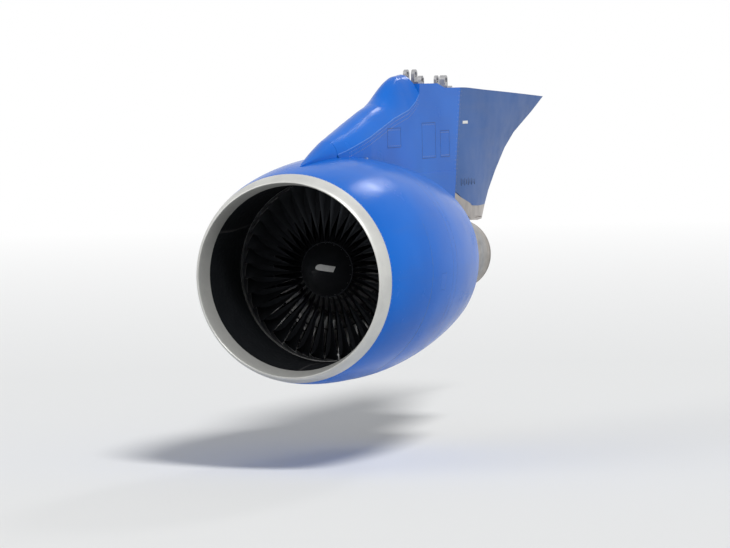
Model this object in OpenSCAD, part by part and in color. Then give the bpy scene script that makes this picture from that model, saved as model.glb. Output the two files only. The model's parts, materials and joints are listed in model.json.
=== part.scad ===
// Underwing turbofan in its nacelle, hung from its strut. Sizes are in millimetres.
// Stations run aft along +Y from the foremost ring of the inlet lip, +Z is up,
// and +X is the outboard side. The finished part is moved so that its origin is
// the bore of the forward wing link, which is where the whole assembly hangs.

/* [Nacelle outline] */
// Depth of the nacelle from its largest radius in to the fan case's inside
nacelle_depth = 237; // [228:1:260]
// Depth from the largest radius in to the foremost ring of the inlet lip
lip_depth = 190; // [170:1:200]
// Station of the largest radius
nacelle_r_y = 1360; // [1320:5:1420]
// How far the end of the fan nozzle stands outside the fan case's inside
fan_exit_rise = 2; // [-5:1:15]
// Station of the end of the fan nozzle
fan_exit_y = 3300; // [3280:5:3400]
// Fullness of the outline ahead of the largest radius
forebody_power = 1.77; // [1.6:0.01:2.2]
// Fullness of the outline behind the largest radius
afterbody_power = 1.82; // [1.6:0.01:2.2]

/* [Inlet] */
// Downward tilt of the inlet, in degrees
inlet_droop = 2.5; // [0:0.1:3]
// Station where the bare lip ends on the outside
lip_y = 170; // [150:5:240]
// Station where the bare lip ends on the inside
liner_y = 215; // [190:5:260]
// How far the throat, the narrowest ring of the air passage, stands inside the fan case
throat_depth = 21; // [15:1:33]
// Station of the throat
throat_y = 500; // [450:10:560]
// Fullness of the inner side of the lip
lip_power = 1.5; // [1.3:0.05:2]
// Thickness of the lip's metal skin
lip_wall = 8; // [4:1:12]
// Thickness of the outer barrel's skin
barrel_wall = 12; // [8:1:20]
// Thickness of the sound-absorbing inner liner
liner_wall = 34; // [24:1:40]
// Thickness of the inlet's ring bulkheads
bulkhead_t = 10; // [6:1:16]

/* [Fan] */
// Number of fan blades
blade_count = 36; // [28:1:38]
// Gap between the blade tips and the fan case
tip_gap = 6; // [4:0.5:12]
// Station of the middle of the blades
fan_y = 1205; // [1200:1:1215]
// Radius of the disk's rim under the blades
disk_r = 300; // [285:1:310]
// Axial width of the disk's rim
disk_w = 168; // [160:1:176]
// Chord of a blade at its root
root_chord = 150; // [135:1:152]
// Chord of a blade at its tip
tip_chord = 225; // [200:1:240]
// Angle of a blade to the shaft at its root
root_stagger = 12; // [8:1:20]
// Angle of a blade to the shaft at its tip
tip_stagger = 62; // [56:1:66]
// Radius of the ring of part-span shrouds
shroud_r = 660; // [620:5:700]
// Axial width of a part-span shroud
shroud_w = 56; // [40:1:64]
// Thickness of a part-span shroud
shroud_t = 15; // [10:1:18]
// Station of the spinner's tip
spinner_y = 690; // [640:5:740]

/* [Fan case] */
// Inside radius of the fan case, which the radii of the nacelle follow
fan_case_r = 1003; // [980:1:1030]
// Station of the fan case's front flange
case_y = 1050; // [1040:1:1060]
// Thickness of the fan case
case_wall = 18; // [12:1:22]
// Thickness of the containment belt round the blades
belt_t = 42; // [30:1:48]
// Number of guide vanes behind the fan
vane_count = 44; // [36:1:48]
// Chord of a guide vane
vane_chord = 118; // [100:1:126]
// Radius of the duct's inner wall under the guide vanes
vane_root_r = 560; // [555:1:570]
// Station of the fan frame's front face
frame_y = 1760; // [1750:5:1770]
// Number of struts in the fan frame
frame_struts = 8; // [6:2:10]

/* [Cowls and reverser] */
// Station of the fan cowls' front edge
cowl_y = 1150; // [1145:1:1160]
// Station of the split between fan cowls and reverser
reverser_y = 1850; // [1845:1:1860]
// Station of the split between the fixed ring and the sliding sleeve
sleeve_y = 2000; // [1990:5:2010]
// Skin thickness of cowls and sleeves
cowl_wall = 14; // [10:1:18]
// Depth of the ring frames inside the fan cowls
cowl_frame_h = 24; // [16:1:28]
// Distance of the cowls' upper edges from the middle plane
cowl_edge_x = 246; // [244:1:252]
// Gap between neighbouring cowls
cowl_gap = 3; // [2:0.5:5]
// Travel of the sleeves
sleeve_travel = 380; // [340:10:400]
// Length of a blocker door
door_len = 285; // [240:5:290]
// Thickness of a blocker door
door_t = 18; // [12:1:20]
// Blocker doors on each side
doors_a_side = 4; // [4:1:4]
// Half width of the fairing under the core, in the duct
lower_fairing_x = 90; // [70:1:110]
// Gap between the line of the fan case's inside and the cascades
cascade_gap = 42; // [41:1:50]
// Radial depth of the cascades
cascade_h = 92; // [70:1:96]
// Turning vanes in a cascade
cascade_vanes = 8; // [6:1:9]

/* [Core] */
// Outside radius of the core cowl where it starts
core_cowl_r = 640; // [630:1:650]
// Outside radius of the core cowl at its fullest
core_cowl_max_r = 700; // [685:1:710]
// Station of the core cowl's end
core_cowl_y = 4150; // [4130:5:4170]
// Outside radius of the core cowl at its end
core_cowl_end_r = 622; // [618:1:630]
// Outside radius of the core nozzle at its end
core_exit_r = 415; // [400:1:430]
// Station of the core nozzle's end
core_exit_y = 5400; // [5350:5:5450]
// Downward tilt of the core nozzle, in degrees
nozzle_droop = 2.7; // [1:0.1:3]
// Thickness of the core nozzle
nozzle_wall = 10; // [6:1:14]
// Outside radius of the long shaft
shaft_r = 60; // [50:1:66]

/* [Strut] */
// Half width of the strut inside the nacelle
strut_x = 232; // [225:1:236]
// Half width of the strut above the nacelle
strut_upper_x = 226; // [200:1:228]
// Station of the strut fairing's nose
strut_nose_y = 440; // [400:10:520]
// Station where the crown fairing ends against the wing
crown_y = 3530; // [3500:10:3560]
// Height of the crown fairing's end above the engine axis
crown_z = 2130; // [2100:5:2160]
// Station of the seam between strut box and aft fairing
aft_seam_y = 4950; // [4900:10:5000]
// Height of the strut's lower face above the core
strut_low_z = 575; // [570:1:580]
// Bore radius of the forward wing link
link_bore_r = 32; // [24:1:36]
// Bore radius of the midspar lugs and the brace lug
lug_bore_r = 28; // [20:1:32]

/* [Hinges and latches] */
// Depth of the cowls' hinge line under the largest radius of the nacelle
hinge_depth = 40; // [37:1:45]
// Outside radius of a hinge knuckle
knuckle_r = 11; // [10:0.5:12]
// Radius of a hinge pin
pin_r = 6; // [5:0.5:7]
// Clearance round a hinge pin
pin_play = 0.4; // [0.3:0.1:0.6]
// Width of a latch handle
latch_w = 50; // [40:1:60]
// Length of a latch handle
latch_len = 150; // [120:1:160]
// Height of the oil service door
oil_door_h = 180; // [150:5:200]
// Width of the oil service door
oil_door_w = 170; // [140:5:190]

/* [Hidden] */
$fn = 120;

paint = [0.10, 0.32, 0.74];
bare = [0.78, 0.78, 0.76];
dark = [0.10, 0.11, 0.12];
steel = [0.55, 0.55, 0.56];
hot = [0.50, 0.47, 0.43];
composite = [0.24, 0.25, 0.27];
primer = [0.45, 0.52, 0.36];

fit = 0.3;
big = 9000;

// Radii that follow the fan case
fan_tip_r = fan_case_r - tip_gap;
throat_r = fan_case_r - throat_depth;
nacelle_r = fan_case_r + nacelle_depth;
highlight_r = nacelle_r - lip_depth;
fan_exit_r = fan_case_r + fan_exit_rise;
cascade_r = fan_case_r + cascade_gap;
hinge_z = nacelle_r - hinge_depth;
// Height of the strut's lower face over the fan case
case_top = fan_case_r + 90;

// Evenly spaced values from a to b, in n steps
function steps(a, b, n) = [for (i = [0:n]) a + (b - a)*i/n];
function backward(v) = [for (i = [len(v) - 1:-1:0]) v[i]];
// Value at y on a chain of straight or eased stretches through [y, value] points
function eased(p, y) = y <= p[0][0] ? p[0][1] : y >= p[len(p) - 1][0] ? p[len(p) - 1][1]
    : [for (i = [1:len(p) - 1]) if (y > p[i - 1][0] && y <= p[i][0])
        let(t = (y - p[i - 1][0])/(p[i][0] - p[i - 1][0]))
        p[i - 1][1] + (p[i][1] - p[i - 1][1])*(1 - cos(180*t))/2][0];

// Outside radius of the nacelle at station y
function outer_r(y) = y < nacelle_r_y
    ? highlight_r + (nacelle_r - highlight_r)
        *pow(1 - pow(1 - max(y, 0)/nacelle_r_y, forebody_power), 1/forebody_power)
    : nacelle_r + (fan_exit_r - nacelle_r)
        *pow((y - nacelle_r_y)/(fan_exit_y - nacelle_r_y), afterbody_power);

// Radius of the air passage ahead of the fan
function passage_r(y) = y < throat_y
    ? throat_r + (highlight_r - throat_r)
        *(1 - pow(1 - pow(1 - y/throat_y, lip_power), 1/lip_power))
    : eased([[throat_y, throat_r], [case_y, fan_case_r]], y);

// Outer wall of the fan duct, from the fan case to the nozzle
nozzle_lip_t = 8;
function duct_r(y) = fan_case_r
    + (fan_exit_r - nozzle_lip_t - fan_case_r)*max(0, y - frame_y)/(fan_exit_y - frame_y);

// Outside of the core cowl, which is the inner wall of the fan duct
core_full_y = 2450;
function core_r(y) = eased([[reverser_y, core_cowl_r], [core_full_y, core_cowl_max_r],
    [fan_exit_y - 200, core_cowl_max_r - 6], [core_cowl_y, core_cowl_end_r]], y);

// Outside of the core nozzle
nozzle_start_r = core_cowl_end_r - 16;
function nozzle_r(y) = let(t = (y - core_cowl_y)/(core_exit_y - core_cowl_y))
    nozzle_start_r + (core_exit_r - nozzle_start_r)*(0.75*t + 0.25*t*t);

// Points [y, share] raised to that share of the way from the nacelle's top to the wing
function raised(p) = [for (q = p) [q[0], nacelle_r + q[1]*(crown_z - nacelle_r)]];
// Crest of the strut fairing, from its nose to the wing
strut_step_y = crown_y + 30;
strut_top_z = crown_z - 110;
midspar_top_z = strut_top_z - 55;
aft_top_z = crown_z - 310;
crest = raised([[strut_nose_y + 350, 0.0562], [1120, 0.191], [1540, 0.3146], [1930, 0.4382],
    [2320, 0.5618], [2600, 0.6348], [2760, 0.7079], [2880, 0.7865], [3000, 0.8652], [3120, 0.927],
    [3260, 0.9719], [crown_y, 1]]);
// Lower edge of the crown fairing, where its curve meets the flat side
shoulder = raised([[cowl_y, 0.0247], [1330, 0.0618], [1950, 0.2247], [2690, 0.4382], [3180, 0.5393],
    [3400, 0.6404], [crown_y, 0.7416]]);
// Value at y on straight stretches through [y, value] points
function along(p, y) = y <= p[0][0] ? p[0][1] + (y - p[0][0])*(p[1][1] - p[0][1])/(p[1][0] - p[0][0])
    : y >= p[len(p) - 1][0] ? p[len(p) - 1][1] : lookup(y, p);
strut_full_y = 2000;
nose_half = 8;
function strut_w(y) = let(t = min(1, (y - strut_nose_y)/(strut_full_y - strut_nose_y)))
    nose_half + (strut_upper_x - nose_half)*(1 - pow(1 - t, 1.6));
// Height of the drooped inlet's skin at x, in the plane of station y
function inlet_top(x, y) =
    let(e = cowl_y + (y - cowl_y + outer_r(y + 50)*sin(inlet_droop))/cos(inlet_droop))
    (e - cowl_y)*sin(inlet_droop) + sqrt(pow(outer_r(e), 2) - x*x)*cos(inlet_droop);

// The wing link's bore, which is the origin of the finished part
link_y = 3850;
link_z = strut_top_z + 110;
// Lines of the hinges of the cowls
hinge_x = cowl_edge_x;
// Edges of the sleeves beside the fixed walls
wall_t = 10;
sleeve_top_x = cowl_edge_x + wall_t + 4;
sleeve_low_x = lower_fairing_x + 4;
// Blocker doors, hinged at their front edges
door_y = sleeve_y + 42;
door_first = 18.5;
door_last = 172.5;
door_pitch = (door_last - door_first)/doors_a_side;
function door_angle(i) = door_first + door_pitch*(i + 0.5);
door_half = fan_case_r*sin(door_pitch/2) - 14;
door_taper = 0.7;
door_shoulder = 60;
// Their pivot pins, which turn in the sleeve between the doors
pivot_z = fan_case_r - 28;
pivot_y = door_y + 10;
pivot_r = 5;
pivot_reach = door_half - 17;

// Moves the part to the frame of the wing link
module hung() translate([0, -link_y, -link_z]) children();
// Tilts the inlet down about the middle of its joint with the fan cowls
module drooped() translate([0, cowl_y, 0]) rotate([inlet_droop, 0, 0])
    translate([0, -cowl_y, 0]) children();
// Tilts the core nozzle down about the middle of its joint
module nozzle_tilted() translate([0, core_cowl_y, 0]) rotate([-nozzle_droop, 0, 0])
    translate([0, -core_cowl_y, 0]) children();
// Turns a profile of [radius, station] points round the engine axis
module turned(points) rotate([-90, 0, 0]) rotate_extrude() polygon(points);
// A ring between two radii and two stations
module ring(r0, r1, y0, y1) turned([[r0, y0], [r1, y0], [r1, y1], [r0, y1]]);
// Everything on one side of the middle plane, beyond x = near: side is 1 or -1
module beyond(near, side, z0 = -big, z1 = big)
    translate([side > 0 ? near : -near - big, -100, z0]) cube([big, big, z1 - z0]);
// A box given by its two corners
module block(a, b) translate(a) cube(b - a);
// Copies placed round the engine axis
module around(count, first = 0) for (i = [0:count - 1]) rotate([0, first + 360*i/count, 0]) children();
// A round bar between two points
module bar(a, b, r) let(d = b - a, l = norm(d))
    translate(a) rotate([0, acos(d.z/l), atan2(d.y, d.x)]) cylinder(h = l, r = r, $fn = 32);

// Solid through a row of sections, each a list of points in the same order. The ends of a paired
// one are strips across it, for sections whose second half mirrors the first.
module lofted(sections, paired = false) {
    n = len(sections[0]);
    m = len(sections);
    ends = paired ? [for (i = [0:n/2 - 2]) [i, i + 1, n - 2 - i, n - 1 - i]] : [[for (i = [0:n - 1]) i]];
    polyhedron(points = [for (s = sections) for (p = s) p],
        faces = concat(ends, [for (e = ends) [for (i = backward(e)) (m - 1)*n + i]],
            [for (j = [0:m - 2]) for (i = [0:n - 1]) let(k = (i + 1) % n)
                each [[j*n + i, (j + 1)*n + i, j*n + k], [j*n + k, (j + 1)*n + i, (j + 1)*n + k]]]),
        convexity = 8);
}

// Strut

// One cross-section of the crown: shoulder to shoulder over the crest
function crown_arc(y, w, low, high) =
    [for (a = steps(0, 180, 10)) [w*cos(a), y, low + (high - low)*sin(a)]];

module strut_nose_fairing() {
    stations = concat([for (t = steps(0.15, 1, 5)) strut_nose_y + 110*t*t],
        steps(680, cowl_y - cowl_gap, 4));
    rise = function(y) sqrt(max(0, 1 - pow(1 - min(1, (y - strut_nose_y)/160), 2)));
    color(paint) hung() lofted([for (y = stations)
        let(w = strut_w(y), skin = inlet_top(0, y),
            side = inlet_top(w, y) + 1 + 22*rise(y),
            high = skin + 4 + (along(crest, y) - skin - 4)*rise(y))
        concat(crown_arc(y, w, side, high),
            [for (x = steps(-w, w, 6)) [x, y, inlet_top(x, y) + 0.5]])]);
}

crown_front = [cowl_y, 1330, 1540, 1740, 1950];
// Station behind the fan frame where the strut's lower face drops to the core
strut_drop_y = 1990;
module strut_crown_fairing() {
    stations = concat(crown_front, [2130, 2320, 2460, 2600, 2690, 2760, 2820, 2880, 2940, 3000, 3060,
        3120, 3180, 3260, 3400, crown_y]);
    color(paint) hung() lofted([for (y = stations)
        crown_arc(y, strut_w(y), along(shoulder, y), along(crest, y))]);
}

// Flat-sided section of the strut below the crown fairing
function strut_section(y, low, skin, high, lean = 0) = let(w = strut_w(y),
    half = [[strut_x, low], [strut_x, skin],
        [w, min(high - 1, skin + 2 + (strut_x*strut_x - w*w)/2/nacelle_r)],
        [w, high]])
    concat([for (p = half) [p.x, y + lean*(p.y - strut_low_z), p.y]],
        [for (p = backward(half)) [-p.x, y + lean*(p.y - strut_low_z), p.y]]);

seam_lean = 0.22;
rear_start = aft_seam_y - seam_lean*(midspar_top_z - strut_low_z);
mount_low_z = 620;
function nozzle_top(y) = nozzle_r(y)*cos(nozzle_droop) - (y - core_cowl_y)*sin(nozzle_droop);
function strut_low(y) = y < 2900 ? strut_low_z : y < core_cowl_y
    ? min(mount_low_z, strut_low_z + (mount_low_z - strut_low_z)*(y - 2900)/600)
    : nozzle_top(min(y, core_exit_y)) + 20;

seam_low_z = strut_low(rear_start) + 25;

module strut_box() {
    function skin(y) = sqrt(pow(outer_r(min(y, fan_exit_y)), 2) - strut_x*strut_x) - 2;
    front = [for (y = concat(crown_front, [strut_drop_y]))
        strut_section(y, case_top, skin(y), along(shoulder, y) - fit)];
    middle = [for (y = [strut_drop_y + 2, 2300, 2690, 2900, 3180, 3400, crown_y])
        strut_section(y, strut_low(y), skin(y), along(shoulder, y) - fit)];
    rear = [for (y = [strut_step_y, core_cowl_y])
        strut_section(y, strut_low(y), skin(fan_exit_y), strut_top_z)];
    end = [strut_section(4400, strut_low(4400), skin(fan_exit_y), midspar_top_z),
        strut_section(rear_start, seam_low_z, skin(fan_exit_y), midspar_top_z, seam_lean)];
    color(paint) hung() lofted(concat(front, middle, rear, end));
}

// Trailing edge of the aft fairing, from the heat shield up to the wing
trailing = [[6250, 335], [6375, 510], [6520, 680], [6800, 920], [7170, 1190], [7540, 1380],
    [8280, 1640], [8740, aft_top_z]];
tail_low_z = 335;
tail_t = 5;
function tail_top(y) = midspar_top_z + (aft_top_z - midspar_top_z)*(y - aft_seam_y)/(8740 - aft_seam_y);
function tail_low(y) = max(tail_low_z, y < core_exit_y ? strut_low(y) : tail_low_z + 20*(5800 - y)/400);
// Station of the aft fairing's front face at height z
function tail_front(z) = aft_seam_y + 0.5 - seam_lean*(midspar_top_z - z);
// Outline of the aft fairing at share s of its height, ending at station end
function tail_level(s, end, lift = 0) =
    let(front_z = seam_low_z + s*(midspar_top_z - seam_low_z) + lift, front = tail_front(front_z),
        half = concat([[strut_upper_x, front, front_z]], [for (f = [0.15, 0.35, 0.55, 0.75, 0.9, 1])
            let(y = front + (end - front)*f, low = tail_low(y))
            [tail_t + (strut_upper_x - tail_t)*(1 - pow(f, 1.7)), y, low + s*(tail_top(y) - low) + lift]]))
    concat(half, [for (p = backward(half)) [-p.x, p.y, p.z]]);
function tail_share(p) = (p.y - tail_low_z)/(tail_top(p.x) - tail_low_z);

module strut_aft_fairing() color(paint) hung()
    lofted(backward([for (i = [1:len(trailing) - 1])
        tail_level(tail_share(trailing[i]), trailing[i].x, i == 1 ? fit : 0)]), true);

module strut_heat_shield() color(bare) hung()
    lofted(backward([tail_level(0, trailing[0].x),
        tail_level(tail_share(trailing[1]), trailing[1].x)]), true);

// Lug with a bore along X: ears is 1 for a single lug and 2 for a clevis
module lug(height, bore_r, ear_t, ears, gap) difference() {
    union() {
        block([-gap/2 - ears*ear_t - 20, -90, 0], [gap/2 + ears*ear_t + 20, 90, 22]);
        for (i = [0:ears - 1]) translate([ears == 1 ? -ear_t/2 : i == 0 ? gap/2 : -gap/2 - ear_t, 0, 0]) {
            translate([0, 0, height]) rotate([0, 90, 0]) cylinder(h = ear_t, r = bore_r + 26);
            block([0, -bore_r - 26, 10], [ear_t, bore_r + 26, height]);
        }
    }
    translate([-300, 0, height]) rotate([0, 90, 0]) cylinder(h = 600, r = bore_r);
}

module wing_link_fitting() color(steel) hung() translate([0, link_y, strut_top_z])
    lug(link_z - strut_top_z, link_bore_r, 40, 2, 60);

midspar_y = 4600;
midspar_x = 150;
lug_h = 95;
brace_y = 4830;
module spar_fittings() color(steel) hung() {
    for (s = [-1, 1]) translate([s*midspar_x, midspar_y, midspar_top_z]) lug(lug_h, lug_bore_r, 46, 1, 0);
    translate([0, brace_y, midspar_top_z]) lug(lug_h, lug_bore_r, 30, 2, 40);
}

// Fixed halves of the cowl hinges, with their pins
fan_hinges = [1240, 1500, 1760];
duct_hinges = [1930, 2150, 2450, 2750];
duct_hinge_drop = 7.2;
// Degrees that a reverser half opens
duct_swing = 45;
lug_w = 30;
ear_w = 20;
// Puts a hinge drawn along +Z on the hinge line of side s, at station y, where the line
// drops by so many degrees on its way aft
module on_hinge_line(y, s, drop) translate([s*hinge_x, y, hinge_z - (y - fan_hinges[2])*tan(drop)])
    rotate([-90 - drop, 0, 0]) children();
module hinge_rod(from, to, r) translate([0, 0, from]) cylinder(h = to - from, r = r, $fn = 48);
ear_end = lug_w/2 + cowl_gap + ear_w;

module fixed_hinge(y, s, drop) on_hinge_line(y, s, drop) {
    difference() {
        union() {
            hinge_rod(-lug_w/2, lug_w/2, knuckle_r);
            block([s > 0 ? strut_x - hinge_x : 0, 3, -lug_w/2],
                [s > 0 ? 0 : hinge_x - strut_x, 60, lug_w/2]);
        }
        hinge_rod(-lug_w, lug_w, pin_r);
    }
    hinge_rod(-ear_end, ear_end, pin_r);
}
module cowl_hinge_fittings() color(steel) hung() for (s = [-1, 1]) {
    for (y = fan_hinges) fixed_hinge(y, s, 0);
    for (y = duct_hinges) fixed_hinge(y, s, duct_hinge_drop);
}

// Moving halves of the hinges at stations ys, on one side
module knuckles(ys, s, drop) for (y = ys) on_hinge_line(y, s, drop) {
    hinge_rod(-ear_end, -ear_end + ear_w, knuckle_r);
    hinge_rod(ear_end - ear_w, ear_end, knuckle_r);
}
module knuckle_cuts(ys, s, drop) for (y = ys) on_hinge_line(y, s, drop) {
    reach = knuckle_r + cowl_gap;
    hinge_rod(-ear_end - 2, ear_end + 2, pin_r + pin_play);
    block([s > 0 ? -5 : -reach, -60, -lug_w/2 - cowl_gap], [s > 0 ? reach : 5, 64, lug_w/2 + cowl_gap]);
}

// Engine mounts

front_mount_y = 2010;
frame_ring_r = 480;
mount_x = 190;
module front_engine_mount() color(steel) hung() difference() {
    block([-mount_x, front_mount_y, 0], [mount_x, front_mount_y + 60, strut_low_z]);
    rotate([-90, 0, 0]) cylinder(h = big, r = frame_ring_r);
}
rear_mount_y = 3960;
rear_ring_r = 575;
rear_mount_x = 70;
module rear_engine_mount() color(steel) hung() difference() {
    block([-rear_mount_x, rear_mount_y, 0], [rear_mount_x, rear_mount_y + 70, mount_low_z]);
    rotate([-90, 0, 0]) cylinder(h = big, r = rear_ring_r);
}
module thrust_links() color(steel) hung() for (s = [-1, 1]) {
    front = [s*(mount_x + 20), front_mount_y + 30, 508];
    rear = [s*(rear_mount_x + 20), rear_mount_y + 35, 597];
    bar(front, rear, 15);
    translate([front.x - 20, front.y, front.z]) rotate([0, 90, 0]) cylinder(h = 40, r = 28);
    translate([rear.x - 20, rear.y, rear.z]) rotate([0, 90, 0]) cylinder(h = 40, r = 18);
}

// Inlet

module inlet_lip() {
    nose_y = 34;
    near = function(end, n) [for (i = [0:n]) end*i*i/n/n];
    outside = [for (y = backward(near(lip_y, 9))) [outer_r(y), y]];
    inside = [for (y = [for (i = [1:9]) liner_y*i*i/81]) [passage_r(y), y]];
    hollow_in = [for (y = backward(steps(nose_y, liner_y, 6))) [passage_r(y) + lip_wall, y]];
    hollow_out = [for (y = steps(nose_y, lip_y, 6)) [outer_r(y) - lip_wall, y]];
    color(bare) hung() drooped() turned(concat(outside, inside, hollow_in, hollow_out));
}

module inlet_outer_barrel() {
    ys = steps(lip_y, cowl_y + 80, 26);
    color(paint) hung() intersection() {
        drooped() turned(concat([for (y = ys) [outer_r(y), y]],
            [for (y = backward(ys)) [outer_r(y) - barrel_wall, y]]));
        block([-big, -big, -big], [big, cowl_y - cowl_gap, big]);
    }
}

module inlet_liner() {
    ys = steps(liner_y, case_y + 80, 20);
    color(dark) hung() intersection() {
        drooped() turned(concat([for (y = ys) [passage_r(y), y]],
            [for (y = backward(ys)) [passage_r(y) + liner_wall, y]]));
        block([-big, -big, -big], [big, case_y, big]);
    }
}

module inlet_bulkheads() color(primer) hung() drooped() {
    for (y = [lip_y + 60, case_y - 70])
        turned([[passage_r(y) + liner_wall + fit, y], [outer_r(y) - barrel_wall - 1, y],
            [outer_r(y) - barrel_wall - 1, y + bulkhead_t],
            [passage_r(y) + liner_wall + fit, y + bulkhead_t]]);
}

// Fan case and frame

module fan_case() {
    belt = fan_case_r + belt_t;
    shell = fan_case_r + case_wall;
    flange = shell + 22;
    end = frame_y - fit;
    color(bare) hung() turned([[fan_case_r, case_y + fit], [flange, case_y + fit], [flange, case_y + 12],
        [shell, case_y + 12], [shell, fan_y - 125], [belt, fan_y - 110], [belt, fan_y + 110],
        [shell, fan_y + 125], [shell, 1630], [shell + 16, 1635], [shell + 16, 1650], [shell, 1655],
        [shell, end - 12], [flange, end - 12], [flange, end], [fan_case_r, end]]);
}

vane_y = 1640;
vane_lean = 14;
module outlet_guide_vanes() {
    c = vane_chord/2;
    upper = [for (f = steps(-1, 1, 6)) [f*c, 14*(1 - f*f) + 3*(1 - f*f)]];
    lower = [for (f = steps(0.67, -0.67, 4)) [f*c, 14*(1 - f*f) - 3*(1 - f*f)]];
    color(bare) hung() around(vane_count) translate([0, vane_y, vane_root_r + fit])
        rotate([0, 0, 90 + vane_lean]) linear_extrude(height = fan_case_r - vane_root_r - 1.2)
            polygon(concat(upper, lower));
}

frame_hub_r = 600;
bearing_r = shaft_r + 40;
stub_r = shaft_r + 30;
core_bearing_r = stub_r + 40;
frame_end = reverser_y - cowl_gap;
module fan_frame() {
    outer = fan_case_r + 32;
    color(bare) hung() {
        turned([[fan_case_r, frame_y], [outer, frame_y], [outer, frame_end],
            [duct_r(frame_end), frame_end]]);
        turned([[frame_hub_r - 30, frame_y], [frame_hub_r, frame_y], [core_cowl_r, frame_end],
            [core_cowl_r - 30, frame_end]]);
        around(frame_struts) translate([0, (frame_y + frame_end)/2 + 1, frame_hub_r - 12])
            linear_extrude(height = fan_case_r - frame_hub_r + 30)
                polygon([for (a = steps(0, 330, 11)) [13*cos(a), 36*sin(a)]]);
    }
    color(steel) hung() {
        turned([[505, frame_y], [core_cowl_r - 50, frame_y + 20], [core_cowl_r - 10, frame_end],
            [frame_ring_r, frame_end], [frame_ring_r, 2090], [frame_ring_r - 25, 2090],
            [frame_ring_r - 25, frame_end + 20], [405, frame_end + 20], [420, frame_end - 10]]);
        turned([[bearing_r, 1325], [bearing_r + 12, 1325], [bearing_r + 12, 1780], [300, 1770],
            [330, frame_y], [345, frame_y], [300, frame_end + 20], [285, frame_end + 20], [290, 1800],
            [core_bearing_r + 12, 1815], [core_bearing_r + 12, 1945], [core_bearing_r, 1945],
            [core_bearing_r, 1830], [bearing_r, 1830]]);
        around(frame_struts, 22.5) translate([0, 1806, 300]) linear_extrude(height = 170)
            polygon([for (a = steps(0, 330, 11)) [8*cos(a), 30*sin(a)]]);
    }
}

// Core cases

splitter_y = 1400;
module booster_case() color(bare) hung() turned([[520, splitter_y], [532, splitter_y + 12],
    [vane_root_r - 8, 1490], [vane_root_r, 1555], [vane_root_r, 1725], [frame_hub_r - 8, frame_y - fit],
    [505, frame_y - fit], [500, splitter_y + 90], [508, splitter_y + 12]]);

// Turned case with a flange at each end
module flanged_case(y0, y1, r0, r1, wall, rim = 22)
    turned([[r0 - wall, y0], [r0 + rim, y0], [r0 + rim, y0 + 12], [r0, y0 + 12], [r1, y1 - 12],
        [r1 + rim, y1 - 12], [r1 + rim, y1], [r1 - wall, y1]]);

compressor_y = frame_end + 20 + fit;
combustor_y = 2650;
turbine_y = 3100;
exhaust_y = 3900;
compressor_r = 420;
combustor_r = 385;
combustor_max_r = 440;
turbine_end_r = 545;

module compressor_case() color(steel) hung() {
    flanged_case(compressor_y, combustor_y, compressor_r, combustor_r - 40, 14);
    for (y = [2150, 2300, 2450])
        let(t = (y - compressor_y)/(combustor_y - compressor_y),
            r = compressor_r + (combustor_r - 40 - compressor_r)*t)
            ring(r - 18, r + 16, y, y + 16);
}

module combustor_case() color(hot) hung() turned([[combustor_r - 54, combustor_y + fit],
    [combustor_r - 18, combustor_y + fit], [combustor_r - 18, combustor_y + 14],
    [combustor_r - 30, combustor_y + 14], [combustor_max_r, combustor_y + 150],
    [combustor_max_r, turbine_y - 70], [combustor_max_r + 22, turbine_y - 14],
    [combustor_max_r + 22, turbine_y - fit], [combustor_max_r - 14, turbine_y - fit],
    [combustor_max_r - 14, combustor_y + 155], [combustor_r - 44, combustor_y + 20]]);

module combustor_liner() color(hot) hung() turned([[250, 2740], [300, 2705], [350, 2705], [400, 2785],
    [400, 3010], [400, turbine_y - 14], [combustor_max_r - 14 - fit, turbine_y - 14],
    [combustor_max_r - 14 - fit, turbine_y - 2], [376, turbine_y - 2], [395, 3008], [395, 2787],
    [348, 2710], [302, 2710], [255, 2743], [255, 3008], [300, turbine_y - 2], [296, turbine_y - 2],
    [250, 3010]]);

nozzle_count = 16;
manifold_y = 2850;
module fuel_manifold() color(steel) hung() {
    base = combustor_max_r + fit;
    turned([[base + 34, manifold_y - 8], [base + 42, manifold_y - 8], [base + 46, manifold_y],
        [base + 42, manifold_y + 8], [base + 34, manifold_y + 8], [base + 30, manifold_y]]);
    around(nozzle_count, 11.25) translate([0, manifold_y, base]) {
        cylinder(h = 34, r = 11, $fn = 32);
        translate([0, 0, 0.5]) cylinder(h = 12, r = 20, $fn = 32);
    }
}

module turbine_case() color(hot) hung() {
    flanged_case(turbine_y, exhaust_y, combustor_max_r, turbine_end_r, 14);
}

exhaust_end = core_cowl_y - fit;
hub_r = 330;
module exhaust_case() {
    flow_r = turbine_end_r;
    color(hot) hung() {
        turned([[flow_r - 14, exhaust_y + fit], [flow_r + 22, exhaust_y + fit],
            [flow_r + 22, exhaust_y + 14], [flow_r, exhaust_y + 14], [flow_r, rear_mount_y],
            [rear_ring_r, rear_mount_y], [rear_ring_r, rear_mount_y + 70],
            [flow_r + 10, rear_mount_y + 70], [nozzle_start_r, exhaust_end - 12],
            [nozzle_start_r, exhaust_end], [nozzle_start_r - 14, exhaust_end],
            [flow_r, exhaust_end - 60]]);
        turned([[hub_r - 20, exhaust_y + 30], [hub_r, exhaust_y + 30], [hub_r, exhaust_end],
            [hub_r - 20, exhaust_end], [hub_r - 20, 4036], [bearing_r, 4036], [bearing_r, 4000],
            [bearing_r + 12, 4000], [bearing_r + 12, 4022], [hub_r - 20, 4022]]);
        around(10, 18) translate([0, exhaust_y + 120, hub_r - 12])
            linear_extrude(height = flow_r - hub_r + 6)
                polygon([for (a = steps(0, 330, 11)) [12*cos(a), 70*sin(a)]]);
    }
}

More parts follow.
